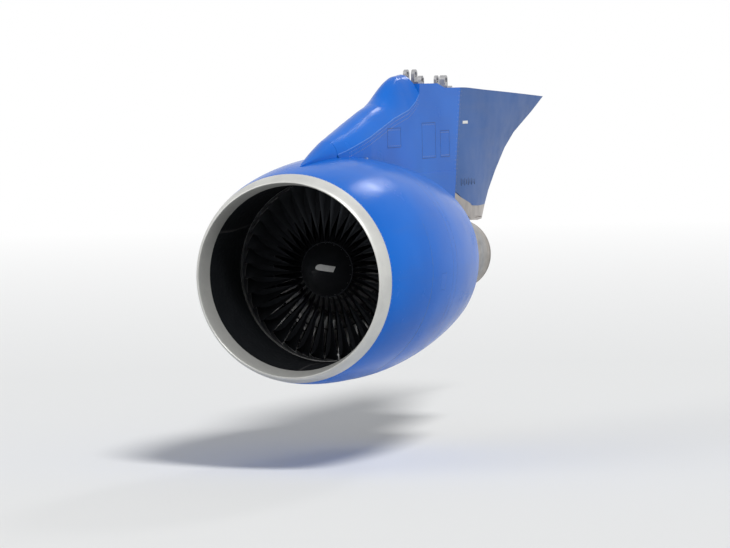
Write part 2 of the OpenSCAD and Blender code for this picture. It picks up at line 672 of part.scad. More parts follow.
module exhaust_nozzle() {
    ys = steps(core_cowl_y - 40, core_exit_y, 14);
    color(hot) hung() intersection() {
        nozzle_tilted() turned(concat([for (y = ys) [nozzle_r(y), y]],
            [for (y = backward(ys)) [nozzle_r(y) - nozzle_wall*(y < core_exit_y - 1 ? 1 : 0.5), y]]));
        block([-big, core_cowl_y, -big], [big, big, big]);
    }
}

plug_end = 5240;
module exhaust_plug() {
    ys = steps(core_cowl_y, plug_end, 14);
    function plug_r(y) = let(t = (y - core_cowl_y)/(plug_end - core_cowl_y))
        hub_r*pow(cos(90*pow(t, 1.15)), 0.9) + 6;
    color(hot) hung() intersection() {
        nozzle_tilted() turned(concat([[0, core_cowl_y - 30], [plug_r(core_cowl_y), core_cowl_y - 30]],
            [for (y = ys) [plug_r(y), y]], [[0, plug_end]]));
        block([-big, core_cowl_y, -big], [big, big, big]);
    }
}

// Accessories under the fan cowls

module crescent(r0, r1, y0, y1, from, to) rotate([-90, 0, 0]) rotate([0, 0, from])
    rotate_extrude(angle = to - from) polygon([[r0, y0], [r1, y0], [r1, y1], [r0, y1]]);

gearbox_r = fan_case_r + case_wall + fit;
gearbox_h = 110;
module accessory_gearbox() color(bare) hung() {
    crescent(gearbox_r, gearbox_r + gearbox_h, 1400, 1530, 58, 122);
    for (a = [72, 100, 114]) rotate([0, a, 0]) translate([gearbox_r + 62, 1525, 0]) rotate([-90, 0, 0])
        cylinder(h = 90, r = 36);
}
module starter() color(steel) hung() rotate([0, 86, 0]) translate([gearbox_r + 64, 1530 + fit, 0])
    rotate([-90, 0, 0]) cylinder(h = 150, r = 42);
module oil_tank() color(bare) hung() {
    crescent(gearbox_r, gearbox_r + 80, 1400, 1600, -12, 30);
    rotate([0, 10, 0]) translate([gearbox_r + 70, 1470, 0]) rotate([0, 90, 0]) cylinder(h = 30, r = 24);
}

// Rotors

module main_bearings() color(steel) hung() {
    for (y = [1330, 1790, 4000]) ring(shaft_r + fit, bearing_r - fit/3, y, y + 36);
    ring(stub_r + fit, core_bearing_r - fit/3, 1905, 1941);
}

// Point on a blade's surface: span share t, chord share f, side 1 or -1 of the camber line
function blade_point(t, f, side) =
    let(r = disk_r + 1 + t*(fan_tip_r - disk_r - 1),
        chord = root_chord + t*(tip_chord - root_chord),
        stagger = root_stagger + (tip_stagger - root_stagger)*pow(t, 0.8),
        camber = chord*(0.13 - 0.11*t)*4*f*(1 - f),
        half_t = chord*(0.045 - 0.03*t)*4*f*(1 - f)*(1.35 - 0.7*f) + 0.8,
        a = (f - 0.5)*chord,
        b = camber + side*half_t,
        q = (a*sin(stagger) + b*cos(stagger))/r*180/PI)
    [r*sin(q), fan_y + a*cos(stagger) - b*sin(stagger), r*cos(q)];

module fan_blade() lofted([for (t = steps(0, 1, 6))
    concat([for (f = [0, 0.12, 0.4, 0.7, 1]) blade_point(t, f, 1)],
        [for (f = [0.95, 0.7, 0.4, 0.12]) blade_point(t, f, -1)])]);

module shroud_end(s) translate([s*(shroud_r*sin(180/blade_count) - 1), fan_y, shroud_r])
    rotate([0, 90, 0]) scale([shroud_t/shroud_w, 1, 1])
        cylinder(h = 0.6, r = shroud_w/2, center = true, $fn = 10);

module fan_blades() color(steel) hung() around(blade_count) {
    fan_blade();
    hull() {
        shroud_end(-1);
        shroud_end(1);
    }
}

disk_y0 = fan_y - disk_w/2;
module fan_disk() color(steel) hung() turned([[shaft_r, disk_y0 + 30], [110, disk_y0 + 30],
    [130, disk_y0 + 60], [disk_r - 30, disk_y0 + 40], [disk_r - 30, disk_y0], [disk_r, disk_y0],
    [disk_r, disk_y0 + disk_w], [disk_r - 30, disk_y0 + disk_w], [disk_r - 30, disk_y0 + disk_w - 40],
    [130, disk_y0 + disk_w - 60], [110, disk_y0 + disk_w - 30], [shaft_r, disk_y0 + disk_w - 30]]);

module spinner() {
    span = disk_y0 - fit - spinner_y;
    function r_at(t) = disk_r*pow(t, 0.82);
    color(dark) hung() turned(concat([for (i = [0:12]) [r_at(i*i/144), spinner_y + span*i*i/144]],
        [for (i = [12:-1:2]) [max(0, r_at(i*i/144) - 9), spinner_y + span*i*i/144 + (i < 12 ? 8 : 0)]],
        [[0, spinner_y + 22]]));
}

module booster_rotor() color(steel) hung() turned([[300, disk_y0 + disk_w + fit],
    [330, disk_y0 + disk_w + fit], [350, 1420], [350, 1450], [485, 1450], [485, 1490], [360, 1490],
    [360, 1550], [480, 1550], [480, 1590], [360, 1590], [360, 1640], [475, 1640], [475, 1680],
    [350, 1680], [350, 1720], [325, 1720], [325, 1420]]);

shaft_y0 = disk_y0 + 20;
shaft_y1 = 4080;
module long_shaft() color(steel) hung() turned([[shaft_r - 22, shaft_y0], [shaft_r - fit/3, shaft_y0],
    [shaft_r - fit/3, shaft_y1], [shaft_r - 22, shaft_y1]]);

module low_turbine_rotor() color(hot) hung() {
    turned([[shaft_r, 3560], [120, 3560], [300, 3520], [300, 3280], [320, 3280], [320, 3860], [300, 3860],
        [300, 3560], [140, 3600], [shaft_r, 3620]]);
    for (i = [0:4]) ring(310, 425 + 20*i, 3300 + 120*i, 3336 + 120*i);
}

module core_compressor_rotor() color(steel) hung() {
    turned([[shaft_r + 12, 1900], [stub_r, 1900], [stub_r, 1980], [150, 1980], [250, 1950], [290, 1950],
        [240, 2620], [215, 2620], [262, 1980], [170, 2010], [shaft_r + 12, 2010]]);
    for (i = [0:7]) ring(230, 365 - 7*i, 2030 + 70*i, 2050 + 70*i);
}

module core_turbine_rotor() color(hot) hung() turned([[shaft_r + 12, 2640], [215, 2640], [215, 2620 + fit],
    [240, 2620 + fit], [240, 2660], [shaft_r + 36, 2700], [shaft_r + 36, 3130], [260, 3130], [260, 3115],
    [390, 3115], [390, 3155], [280, 3155], [280, 3190], [390, 3190], [392, 3230], [260, 3230],
    [260, 3180], [shaft_r + 12, 3180]]);

// Fan cowls

module fan_cowl(s) {
    y0 = cowl_y;
    y1 = reverser_y - cowl_gap;
    ys = steps(y0, y1, 16);
    frames = [y0 + 60, (y0 + y1)/2 - 110, (y0 + y1)/2 + 110, y1 - 60];
    inner = [for (y = backward(ys)) [outer_r(y) - cowl_wall, y]];
    color(paint) hung() difference() {
        union() {
            intersection() {
                union() {
                    turned(concat([for (y = ys) [outer_r(y), y]], inner));
                    for (y = frames) turned([[outer_r(y) - cowl_wall - cowl_frame_h, y - 12],
                        [outer_r(y) - cowl_wall + 4, y - 12], [outer_r(y) - cowl_wall + 4, y + 12],
                        [outer_r(y) - cowl_wall - cowl_frame_h, y + 12]]);
                }
                union() {
                    beyond(cowl_edge_x, s);
                    beyond(cowl_gap/2 + 1, s, z1 = 0);
                }
            }
            knuckles(fan_hinges, s, 0);
        }
        knuckle_cuts(fan_hinges, s, 0);
        if (s > 0) {
            oil_door_slab(oil_door_gap, oil_door_t + fit, 10);
            oil_door_box(-12);
        }
        if (s < 0) for (y = fan_latches) latch_space(y, latch_len, cowl_gap, latch_t + fit);
    }
}
module fan_cowl_left() fan_cowl(-1);
module fan_cowl_right() fan_cowl(1);

// Oil service door, in the outboard fan cowl
oil_door_y = 1500;
oil_door_z = -60;
oil_door_t = 6;
oil_door_gap = 1.5;
module oil_door_box(grow)
    block([0.9*nacelle_r, oil_door_y - oil_door_w/2 - grow, oil_door_z - oil_door_h - grow],
        [nacelle_r + 20, oil_door_y + oil_door_w/2 + grow, oil_door_z + grow]);
// Curved slab of the door, from depth under the skin to proud of it
module oil_door_slab(grow, depth, proud) {
    ys = steps(oil_door_y - oil_door_w, oil_door_y + oil_door_w, 6);
    intersection() {
        turned(concat([for (y = ys) [outer_r(y) + proud, y]],
            [for (y = backward(ys)) [outer_r(y) - depth, y]]));
        oil_door_box(grow);
    }
}
// The door, with the round upper edge that it turns on, a straight bar under the bulging skin
module oil_door() color(paint) hung() {
    edge_z = oil_door_z - oil_door_t/2;
    edge_r = 0.43*oil_door_t;
    sides = [oil_door_y - oil_door_w/2, oil_door_y + oil_door_w/2];
    bulge = outer_r(oil_door_y) - (outer_r(sides[0]) + outer_r(sides[1]))/2;
    ends = [for (y = sides)
        [sqrt(pow(outer_r(y) - oil_door_t/2 + bulge/2, 2) - edge_z*edge_z), y, edge_z]];
    difference() {
        oil_door_slab(0, oil_door_t, 0);
        block([0, 0, edge_z], [big, big, 0]);
    }
    bar(ends[0], ends[1], edge_r);
}

// Latch handles along the bottom split
fan_latches = [1300, 1700];
duct_latches = [2200, 2900];
latch_t = 8;
latch_x = 12;
duct_latch_len = lower_fairing_x - 2*latch_x;
module latch_space(y, len, grow, depth) intersection() {
    block([-latch_x - len - grow, y - latch_w/2 - grow, -1.05*nacelle_r],
        [-latch_x + (grow > 0 ? 2*latch_x : 0), y + latch_w/2 + grow, -800]);
    turned([[outer_r(y - latch_w) - depth, y - latch_w],
        [outer_r(y - latch_w) + 10*sign(grow), y - latch_w],
        [outer_r(y + latch_w) + 10*sign(grow), y + latch_w],
        [outer_r(y + latch_w) - depth, y + latch_w]]);
}
// A handle, with the round edge that it turns on
module latch_handle(y, len) color(bare) hung() {
    x = -latch_x - len + latch_t/2;
    slope = (outer_r(y + latch_w) - outer_r(y - latch_w))/latch_w/2;
    ends = [for (s = [-1, 1]) let(r = (outer_r(y - latch_w) + outer_r(y + latch_w))/2 + s*slope*latch_w/2)
        [x, y + s*latch_w/2, -sqrt(pow(r - latch_t/2, 2) - x*x)]];
    latch_space(y, len - latch_t/2, 0, latch_t);
    bar(ends[0], ends[1], latch_t/2);
}
module fan_latch_front() latch_handle(fan_latches[0], latch_len);
module fan_latch_rear() latch_handle(fan_latches[1], latch_len);
module reverser_latch_front() latch_handle(duct_latches[0], duct_latch_len);
module reverser_latch_rear() latch_handle(duct_latches[1], duct_latch_len);

// Thrust reverser halves

// Plan outline of a wall beside a fairing in the duct, with its rounded front
function wall_plan(x, nose_y, t) = concat([[x, rail_end]],
    [for (a = steps(0, 90, 6))
        [x - (x - cowl_gap/2)*(1 - cos(a)), wall_full_y - (wall_full_y - nose_y)*sin(a)]],
    [for (a = steps(90, 0, 6)) let(inner = x - t)
        [inner - (inner - cowl_gap/2)*(1 - cos(a)), wall_full_y - (wall_full_y - nose_y - t)*sin(a)]],
    [[x - t, rail_end]]);

// Ends of the walls beside the fairings, and the heights that they start from inside the core cowl
rail_end = fan_exit_y - 10;
wall_top_z = 585;
wall_low_z = -600;
wall_full_y = sleeve_y;

module duct(s) {
    ring_ys = steps(reverser_y, sleeve_y, 4);
    core_ys = steps(reverser_y, core_cowl_y - fit, 22);
    ys = concat(ring_ys, [for (y = steps(sleeve_y, rail_end, 14)) if (y > sleeve_y) y]);
    color(paint) hung() difference() {
        union() {
            intersection() {
                turned(concat([for (y = ring_ys) [outer_r(y), y]],
                    [for (y = backward(ring_ys)) if (y > reverser_y) [outer_r(y) - cowl_wall, y]],
                    [[outer_r(reverser_y + wall_t) - cowl_wall, reverser_y + wall_t],
                    [fan_case_r + 36, reverser_y + wall_t], [fan_case_r + 36, sleeve_y - 10],
                    [cascade_r + cascade_h, sleeve_y - 10], [cascade_r + cascade_h, sleeve_y],
                    [fan_case_r + 30, sleeve_y], [duct_r(sleeve_y) + 12, sleeve_y + 20],
                    [duct_r(sleeve_y), sleeve_y + 14],
                    [duct_r(reverser_y), reverser_y]]));
                union() {
                    beyond(cowl_edge_x, s);
                    beyond(cowl_gap/2, s, z1 = 0);
                }
            }
            knuckles(duct_hinges, s, duct_hinge_drop);
            intersection() {
                turned(concat([for (y = core_ys) [core_r(y), y]],
                    [for (y = backward(core_ys)) [core_r(y) - 14, y]]));
                union() {
                    beyond(cowl_edge_x, s);
                    beyond(cowl_gap/2, s, z1 = 0);
                    intersection() {
                        beyond(cowl_gap/2, s, z0 = 0);
                        block([-big, reverser_y + 12, 0], [big, sleeve_y - 15, big]);
                    }
                }
            }
            intersection() {
                turned(concat([[0, reverser_y]], [for (y = ys) [outer_r(y) - 1, y]], [[0, rail_end]]));
                mirror([s > 0 ? 0 : 1, 0, 0]) union() {
                    intersection() {
                        translate([0, 0, wall_top_z]) linear_extrude(height = big)
                            polygon(wall_plan(cowl_edge_x + wall_t, reverser_y + 20, wall_t));
                        union() {
                            beyond(cowl_edge_x, 1);
                            beyond(cowl_gap/2, 1, z1 = case_top - cowl_gap);
                        }
                    }
                    translate([0, 0, -big]) linear_extrude(height = big + wall_low_z)
                        polygon(wall_plan(lower_fairing_x, reverser_y + 30, wall_t));
                    block([cowl_gap/2, rail_end - wall_t, -big], [lower_fairing_x, rail_end, wall_low_z]);
                }
            }
            intersection() {
                turned(concat([for (y = ys) [outer_r(y), y]],
                    [for (y = backward(ys)) [outer_r(y) - 18, y]]));
                beyond(cowl_gap/2, s, z1 = 0);
                beyond(-lower_fairing_x, -s, z1 = 0);
            }
        }
        knuckle_cuts(duct_hinges, s, duct_hinge_drop);
        if (s < 0) for (y = duct_latches) latch_space(y, duct_latch_len, cowl_gap, latch_t + fit);
    }
}
module duct_left() duct(-1);
module duct_right() duct(1);

module cascade(s) {
    y0 = sleeve_y + fit;
    y1 = sleeve_y + sleeve_travel - 30;
    pitch = (y1 - y0 - 30)/cascade_vanes;
    top = cascade_r + cascade_h;
    color(bare) hung() intersection() {
        union() {
            ring(fan_case_r + 40, top, y0, y0 + 10);
            ring(cascade_r, top, y1 - 12, y1);
            for (i = [0:cascade_vanes - 1]) let(y = y0 + 22 + pitch*i)
                turned([[cascade_r, y + 18], [cascade_r + 30, y + 14], [top, y], [top, y + 4],
                    [cascade_r + 32, y + 18], [cascade_r, y + 22]]);
            for (a = steps(20, 172, 8)) rotate([0, s*a, 0])
                block([-3, y0 + 4, cascade_r + 1], [3, y1 - 4, top - 1]);
        }
        union() {
            beyond(sleeve_top_x + 14, s, z0 = 0);
            beyond(sleeve_low_x + 6, s, z1 = 0);
        }
    }
}
module cascade_left() cascade(-1);
module cascade_right() cascade(1);

// Blocker door i on side s, grown by a clearance and by depth at its back
module door_shape(i, s, grow, depth) intersection() {
    turned([[duct_r(door_y) - (grow > 0 ? 20 : 0), door_y - grow],
        [duct_r(door_y) + door_t + depth, door_y - grow],
        [duct_r(door_y + door_len) + door_t + depth, door_y + door_len + grow],
        [duct_r(door_y + door_len) - (grow > 0 ? 20 : 0), door_y + door_len + grow]]);
    rotate([0, s*door_angle(i), 0]) linear_extrude(height = big) polygon(door_plan(grow));
}
function door_plan(grow) = let(half = [[door_half*door_taper + grow, door_y - 2*grow],
        [door_half + grow, door_y + door_shoulder],
        [door_half*door_taper + grow, door_y + door_len + 2*grow]])
    concat(half, [for (p = backward(half)) [-p.x, p.y]]);
// Slot that lets the front edge of door i swing through the sleeve's inner wall, with its pivot bores
module door_slot(i, s) {
    front = door_half*door_taper + 48;
    half = [[front, sleeve_y], [front, door_y], [door_half + 4, door_y + 40],
        [door_half + 4, door_y + door_shoulder], [front - 28, door_y + door_shoulder - 15]];
    rotate([0, s*door_angle(i), 0]) {
        intersection() {
            linear_extrude(height = duct_r(door_y) + door_t + 20)
                polygon(concat(half, [for (p = backward(half)) [-p.x, p.y]]));
            block([-big, 0, 0.8*fan_case_r], [big, big, big]);
        }
        pivot(pivot_r + pin_play, pivot_reach + 2);
    }
}
module pivot(r, reach) translate([-reach, pivot_y, pivot_z]) rotate([0, 90, 0])
    cylinder(h = 2*reach, r = r, $fn = 32);
module blocker(i, s) color(composite) hung() {
    door_shape(i, s, 0, 0);
    rotate([0, s*door_angle(i), 0]) difference() {
        pivot(pivot_r, pivot_reach);
        block([-door_half*door_taper + 6, 0, 0], [door_half*door_taper - 6, big, big]);
    }
}
module blocker_left_1() blocker(0, -1);
module blocker_left_2() blocker(1, -1);
module blocker_left_3() blocker(2, -1);
module blocker_left_4() blocker(3, -1);
module blocker_right_1() blocker(0, 1);
module blocker_right_2() blocker(1, 1);
module blocker_right_3() blocker(2, 1);
module blocker_right_4() blocker(3, 1);

// Stretch of a sleeve's edge, from station y, that reaches to its rail as a sliding shoe
shoe_play = 0.4;
shoe_len = 160;
module beyond_at(near, s, y, up) translate([s > 0 ? near : -near - 20, y, up > 0 ? 0 : -duct_r(y) - 24])
    cube([20, shoe_len, duct_r(y) + 24]);
// What the strut's side would reach of a sleeve that is aft on an open half
module strut_reach(s) let(side = hinge_x - strut_upper_x - strut_play)
    translate([0, -sleeve_travel, 0]) on_hinge_line(fan_hinges[2], s, duct_hinge_drop)
        rotate([0, 0, s*duct_swing])
            block([s > 0 ? -120 : side, -150, 0], [s > 0 ? -side : 120, 200, 2100]);
strut_play = 3;
module sleeve(s) {
    y0 = sleeve_y + cowl_gap;
    lip = sleeve_y + 26;
    pocket = sleeve_y + sleeve_travel + 10;
    inner_t = door_t + 8;
    ys = steps(y0, fan_exit_y, 22);
    pocket_ys = backward(steps(y0, pocket, 8));
    color(paint) hung() difference() {
        intersection() {
            turned(concat([for (y = ys) [outer_r(y), y]],
                [[duct_r(fan_exit_y), fan_exit_y], [duct_r(lip), lip],
                [duct_r(lip) + inner_t, lip], [duct_r(pocket) + inner_t, pocket]],
                [for (y = pocket_ys) [outer_r(y) - cowl_wall, y]]));
            union() {
                beyond(sleeve_top_x, s, z0 = 0);
                beyond(sleeve_low_x, s, z1 = 0);
                for (y = [lip + 90, pocket + 250]) {
                    beyond_at(sleeve_top_x - 4 + shoe_play, s, y, 1);
                    beyond_at(sleeve_low_x - 4 + shoe_play, s, y, -1);
                }
            }
        }
        for (i = [0:doors_a_side - 1]) {
            door_shape(i, s, 3, fit);
            door_slot(i, s);
        }
        strut_reach(s);
    }
}
module sleeve_left() sleeve(-1);
module sleeve_right() sleeve(1);

strut_nose_fairing();
strut_crown_fairing();
strut_box();
strut_aft_fairing();
strut_heat_shield();
wing_link_fitting();
spar_fittings();
cowl_hinge_fittings();
front_engine_mount();
rear_engine_mount();
thrust_links();
inlet_lip();
inlet_outer_barrel();
inlet_liner();
inlet_bulkheads();
fan_case();
outlet_guide_vanes();
fan_frame();
booster_case();
compressor_case();
combustor_case();
combustor_liner();
fuel_manifold();
turbine_case();
exhaust_case();
exhaust_nozzle();
exhaust_plug();
accessory_gearbox();
oil_tank();
starter();
main_bearings();
fan_blades();
fan_disk();
spinner();
booster_rotor();
long_shaft();
low_turbine_rotor();
core_compressor_rotor();
core_turbine_rotor();
fan_cowl_left();
fan_cowl_right();
oil_door();
fan_latch_front();
fan_latch_rear();
duct_left();
duct_right();
cascade_left();
cascade_right();
sleeve_left();
sleeve_right();
reverser_latch_front();
reverser_latch_rear();
blocker_left_1();
blocker_left_2();
blocker_left_3();
blocker_left_4();
blocker_right_1();
blocker_right_2();
blocker_right_3();
blocker_right_4();
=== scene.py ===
"""Looks of a podded turbofan engine with its nacelle and strut.

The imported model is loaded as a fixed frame. Every node that it carries gets a procedural
finish, smooth skins stand for the faceted ones, and the pieces that plain solids lack are
added. Stations in this file run aft from the foremost ring of the inlet lip, in metres,
with the engine axis as their centre line, and HUNG moves them to the frame of the wing link.
"""
import json
import logging
import math
from collections.abc import Callable
from dataclasses import dataclass
from enum import Enum

import bmesh
import bpy
from mathutils import Matrix, Vector

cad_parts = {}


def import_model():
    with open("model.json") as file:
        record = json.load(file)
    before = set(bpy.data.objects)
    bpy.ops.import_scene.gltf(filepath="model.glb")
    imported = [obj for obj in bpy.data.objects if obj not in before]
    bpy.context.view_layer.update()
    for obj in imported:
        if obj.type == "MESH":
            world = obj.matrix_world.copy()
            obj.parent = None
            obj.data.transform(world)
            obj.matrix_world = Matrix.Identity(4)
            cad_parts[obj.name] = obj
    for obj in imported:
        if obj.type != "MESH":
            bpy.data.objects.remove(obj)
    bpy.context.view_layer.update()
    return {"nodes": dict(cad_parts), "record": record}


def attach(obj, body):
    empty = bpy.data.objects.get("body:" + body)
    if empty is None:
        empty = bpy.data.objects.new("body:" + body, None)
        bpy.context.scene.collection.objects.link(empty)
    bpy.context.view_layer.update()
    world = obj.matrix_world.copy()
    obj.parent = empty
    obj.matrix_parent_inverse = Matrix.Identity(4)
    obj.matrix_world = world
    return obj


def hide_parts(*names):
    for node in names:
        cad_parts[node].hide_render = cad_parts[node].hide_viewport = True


LOG = logging.getLogger("turbofan")
HUNG = Vector((0.0, -3.850, -2.130))
IMAGE_WIDTH = 730
Point = tuple[float, float, float]
Profile = list[tuple[float, float]]


class Body(str, Enum):
    """Bodies of the frame that new pieces ride on."""

    FIXED = "fixed_structure"
    FAN_SPOOL = "fan_spool"
    COWL_LEFT = "fan_cowl_left"
    COWL_RIGHT = "fan_cowl_right"
    DUCT_LEFT = "duct_left"
    DUCT_RIGHT = "duct_right"
    SLEEVE_LEFT = "sleeve_left"
    SLEEVE_RIGHT = "sleeve_right"


class Slot(str, Enum):
    """Material slots of the record."""

    BLUE = "blue_paint"
    # The record's pale blue slot: on the aft fairing the paler blue is a painted reflection on the same blue
    # paint.
    PALE_BLUE = "pale_blue_paint"
    ALUMINIUM = "bare_aluminium"
    SHIELD = "heat_shield_metal"
    # The record's dark liner slot: its near-black finish is painted shade of the deep inlet.
    LINER = "dark_acoustic_liner"
    SPINNER = "dark_spinner"
    STEEL = "steel"
    TITANIUM = "blade_titanium"
    HOT = "hot_alloy"
    PRIMER = "primer"
    COMPOSITE = "composite"


# Shape of the nacelle and the core


@dataclass(frozen=True)
class Nacelle:
    """Outlines of the nacelle, its air passages and the core, as radii along the axis."""

    highlight: float = 1.050
    widest: float = 1.240
    widest_y: float = 1.360
    exit_radius: float = 1.005
    exit_y: float = 3.300
    fore_power: float = 1.77
    aft_power: float = 1.82
    droop: float = 2.5
    lip_y: float = 0.170
    liner_y: float = 0.215
    throat: float = 0.982
    throat_y: float = 0.500
    lip_power: float = 1.5
    case_radius: float = 1.003
    case_y: float = 1.050
    cowl_y: float = 1.150
    core_end_y: float = 4.150
    core_end_radius: float = 0.622
    nozzle_radius: float = 0.415
    nozzle_y: float = 5.400
    nozzle_droop: float = 2.7

    def outer(self, y: float) -> float:
        """Outside radius of the nacelle at a station.

        Args:
            y: The station.

        Returns:
            The radius.
        """
        if y < self.widest_y:
            t = 1 - (1 - max(y, 0.0) / self.widest_y) ** self.fore_power
            return self.highlight + (self.widest - self.highlight) * t ** (1 / self.fore_power)
        t = (y - self.widest_y) / (self.exit_y - self.widest_y)
        return self.widest + (self.exit_radius - self.widest) * t ** self.aft_power

    def passage(self, y: float) -> float:
        """Radius of the air passage ahead of the fan.

        Args:
            y: The station.

        Returns:
            The radius.
        """
        if y < self.throat_y:
            t = 1 - (1 - y / self.throat_y) ** self.lip_power
            return self.throat + (self.highlight - self.throat) * (1 - t ** (1 / self.lip_power))
        t = min(1.0, (y - self.throat_y) / (self.case_y - self.throat_y))
        return self.throat + (self.case_radius - self.throat) * (1 - math.cos(math.pi * t)) / 2

    def nozzle(self, y: float) -> float:
        """Outside radius of the core nozzle at a station, before its droop.

        Args:
            y: The station.

        Returns:
            The radius.
        """
        t = (y - self.core_end_y) / (self.nozzle_y - self.core_end_y)
        start = self.core_end_radius - 0.016
        return start + (self.nozzle_radius - start) * (0.75 * t + 0.25 * t * t)

    def drooped(self) -> Matrix:
        """Matrix that tilts the inlet down about the middle of its joint with the cowls."""
        return turned_about(Vector((0, self.cowl_y, 0)), self.droop, "X")

    def nozzle_tilt(self) -> Matrix:
        """Matrix that tilts the core nozzle down about the middle of its joint."""
        return turned_about(Vector((0, self.core_end_y, 0)), -self.nozzle_droop, "X")

    def inlet_top(self, x: float, y: float) -> float:
        """Height of the drooped inlet's skin above the axis.

        Args:
            x: Distance from the middle plane.
            y: The station.

        Returns:
            The height.
        """
        a = math.radians(self.droop)
        e = self.cowl_y + (y - self.cowl_y + self.outer(y + 0.050) * math.sin(a)) / math.cos(a)
        return (e - self.cowl_y) * math.sin(a) + math.sqrt(self.outer(e) ** 2 - x * x) * math.cos(a)


def turned(degrees: float, axis: str) -> Matrix:
    """Matrix of a turn about an axis through the origin.

    Args:
        degrees: The angle.
        axis: The axis, X, Y or Z.

    Returns:
        The matrix.
    """
    return Matrix.Rotation(math.radians(degrees), 4, axis)


def turned_about(centre: Vector, degrees: float, axis: str) -> Matrix:
    """Matrix of a turn about an axis through a point.

    Args:
        centre: The point that stays.
        degrees: The angle.
        axis: The axis, X, Y or Z.

    Returns:
        The matrix.
    """
    return Matrix.Translation(centre) @ turned(degrees, axis) @ Matrix.Translation(-centre)


def hand(side: int) -> str:
    """Word for a side, where 1 is right and -1 left."""
    return "right" if side > 0 else "left"


def steps(a: float, b: float, n: int) -> list[float]:
    """Evenly spaced values.

    Args:
        a: The first value.
        b: The last value.
        n: The number of steps between them.

    Returns:
        The n + 1 values.
    """
    return [a + (b - a) * i / n for i in range(n + 1)]


def along(points: Profile, y: float) -> float:
    """Value at a station of straight stretches, run on past their ends.

    Args:
        points: Pairs of station and value, in order.
        y: The station.

    Returns:
        The value.
    """
    pairs = list(zip(points, points[1:]))
    for (y0, v0), (y1, v1) in pairs:
        if y <= y1:
            return v0 + (y - y0) * (v1 - v0) / (y1 - y0)
    (y0, v0), (y1, v1) = pairs[-1]
    return v1


# Finishes


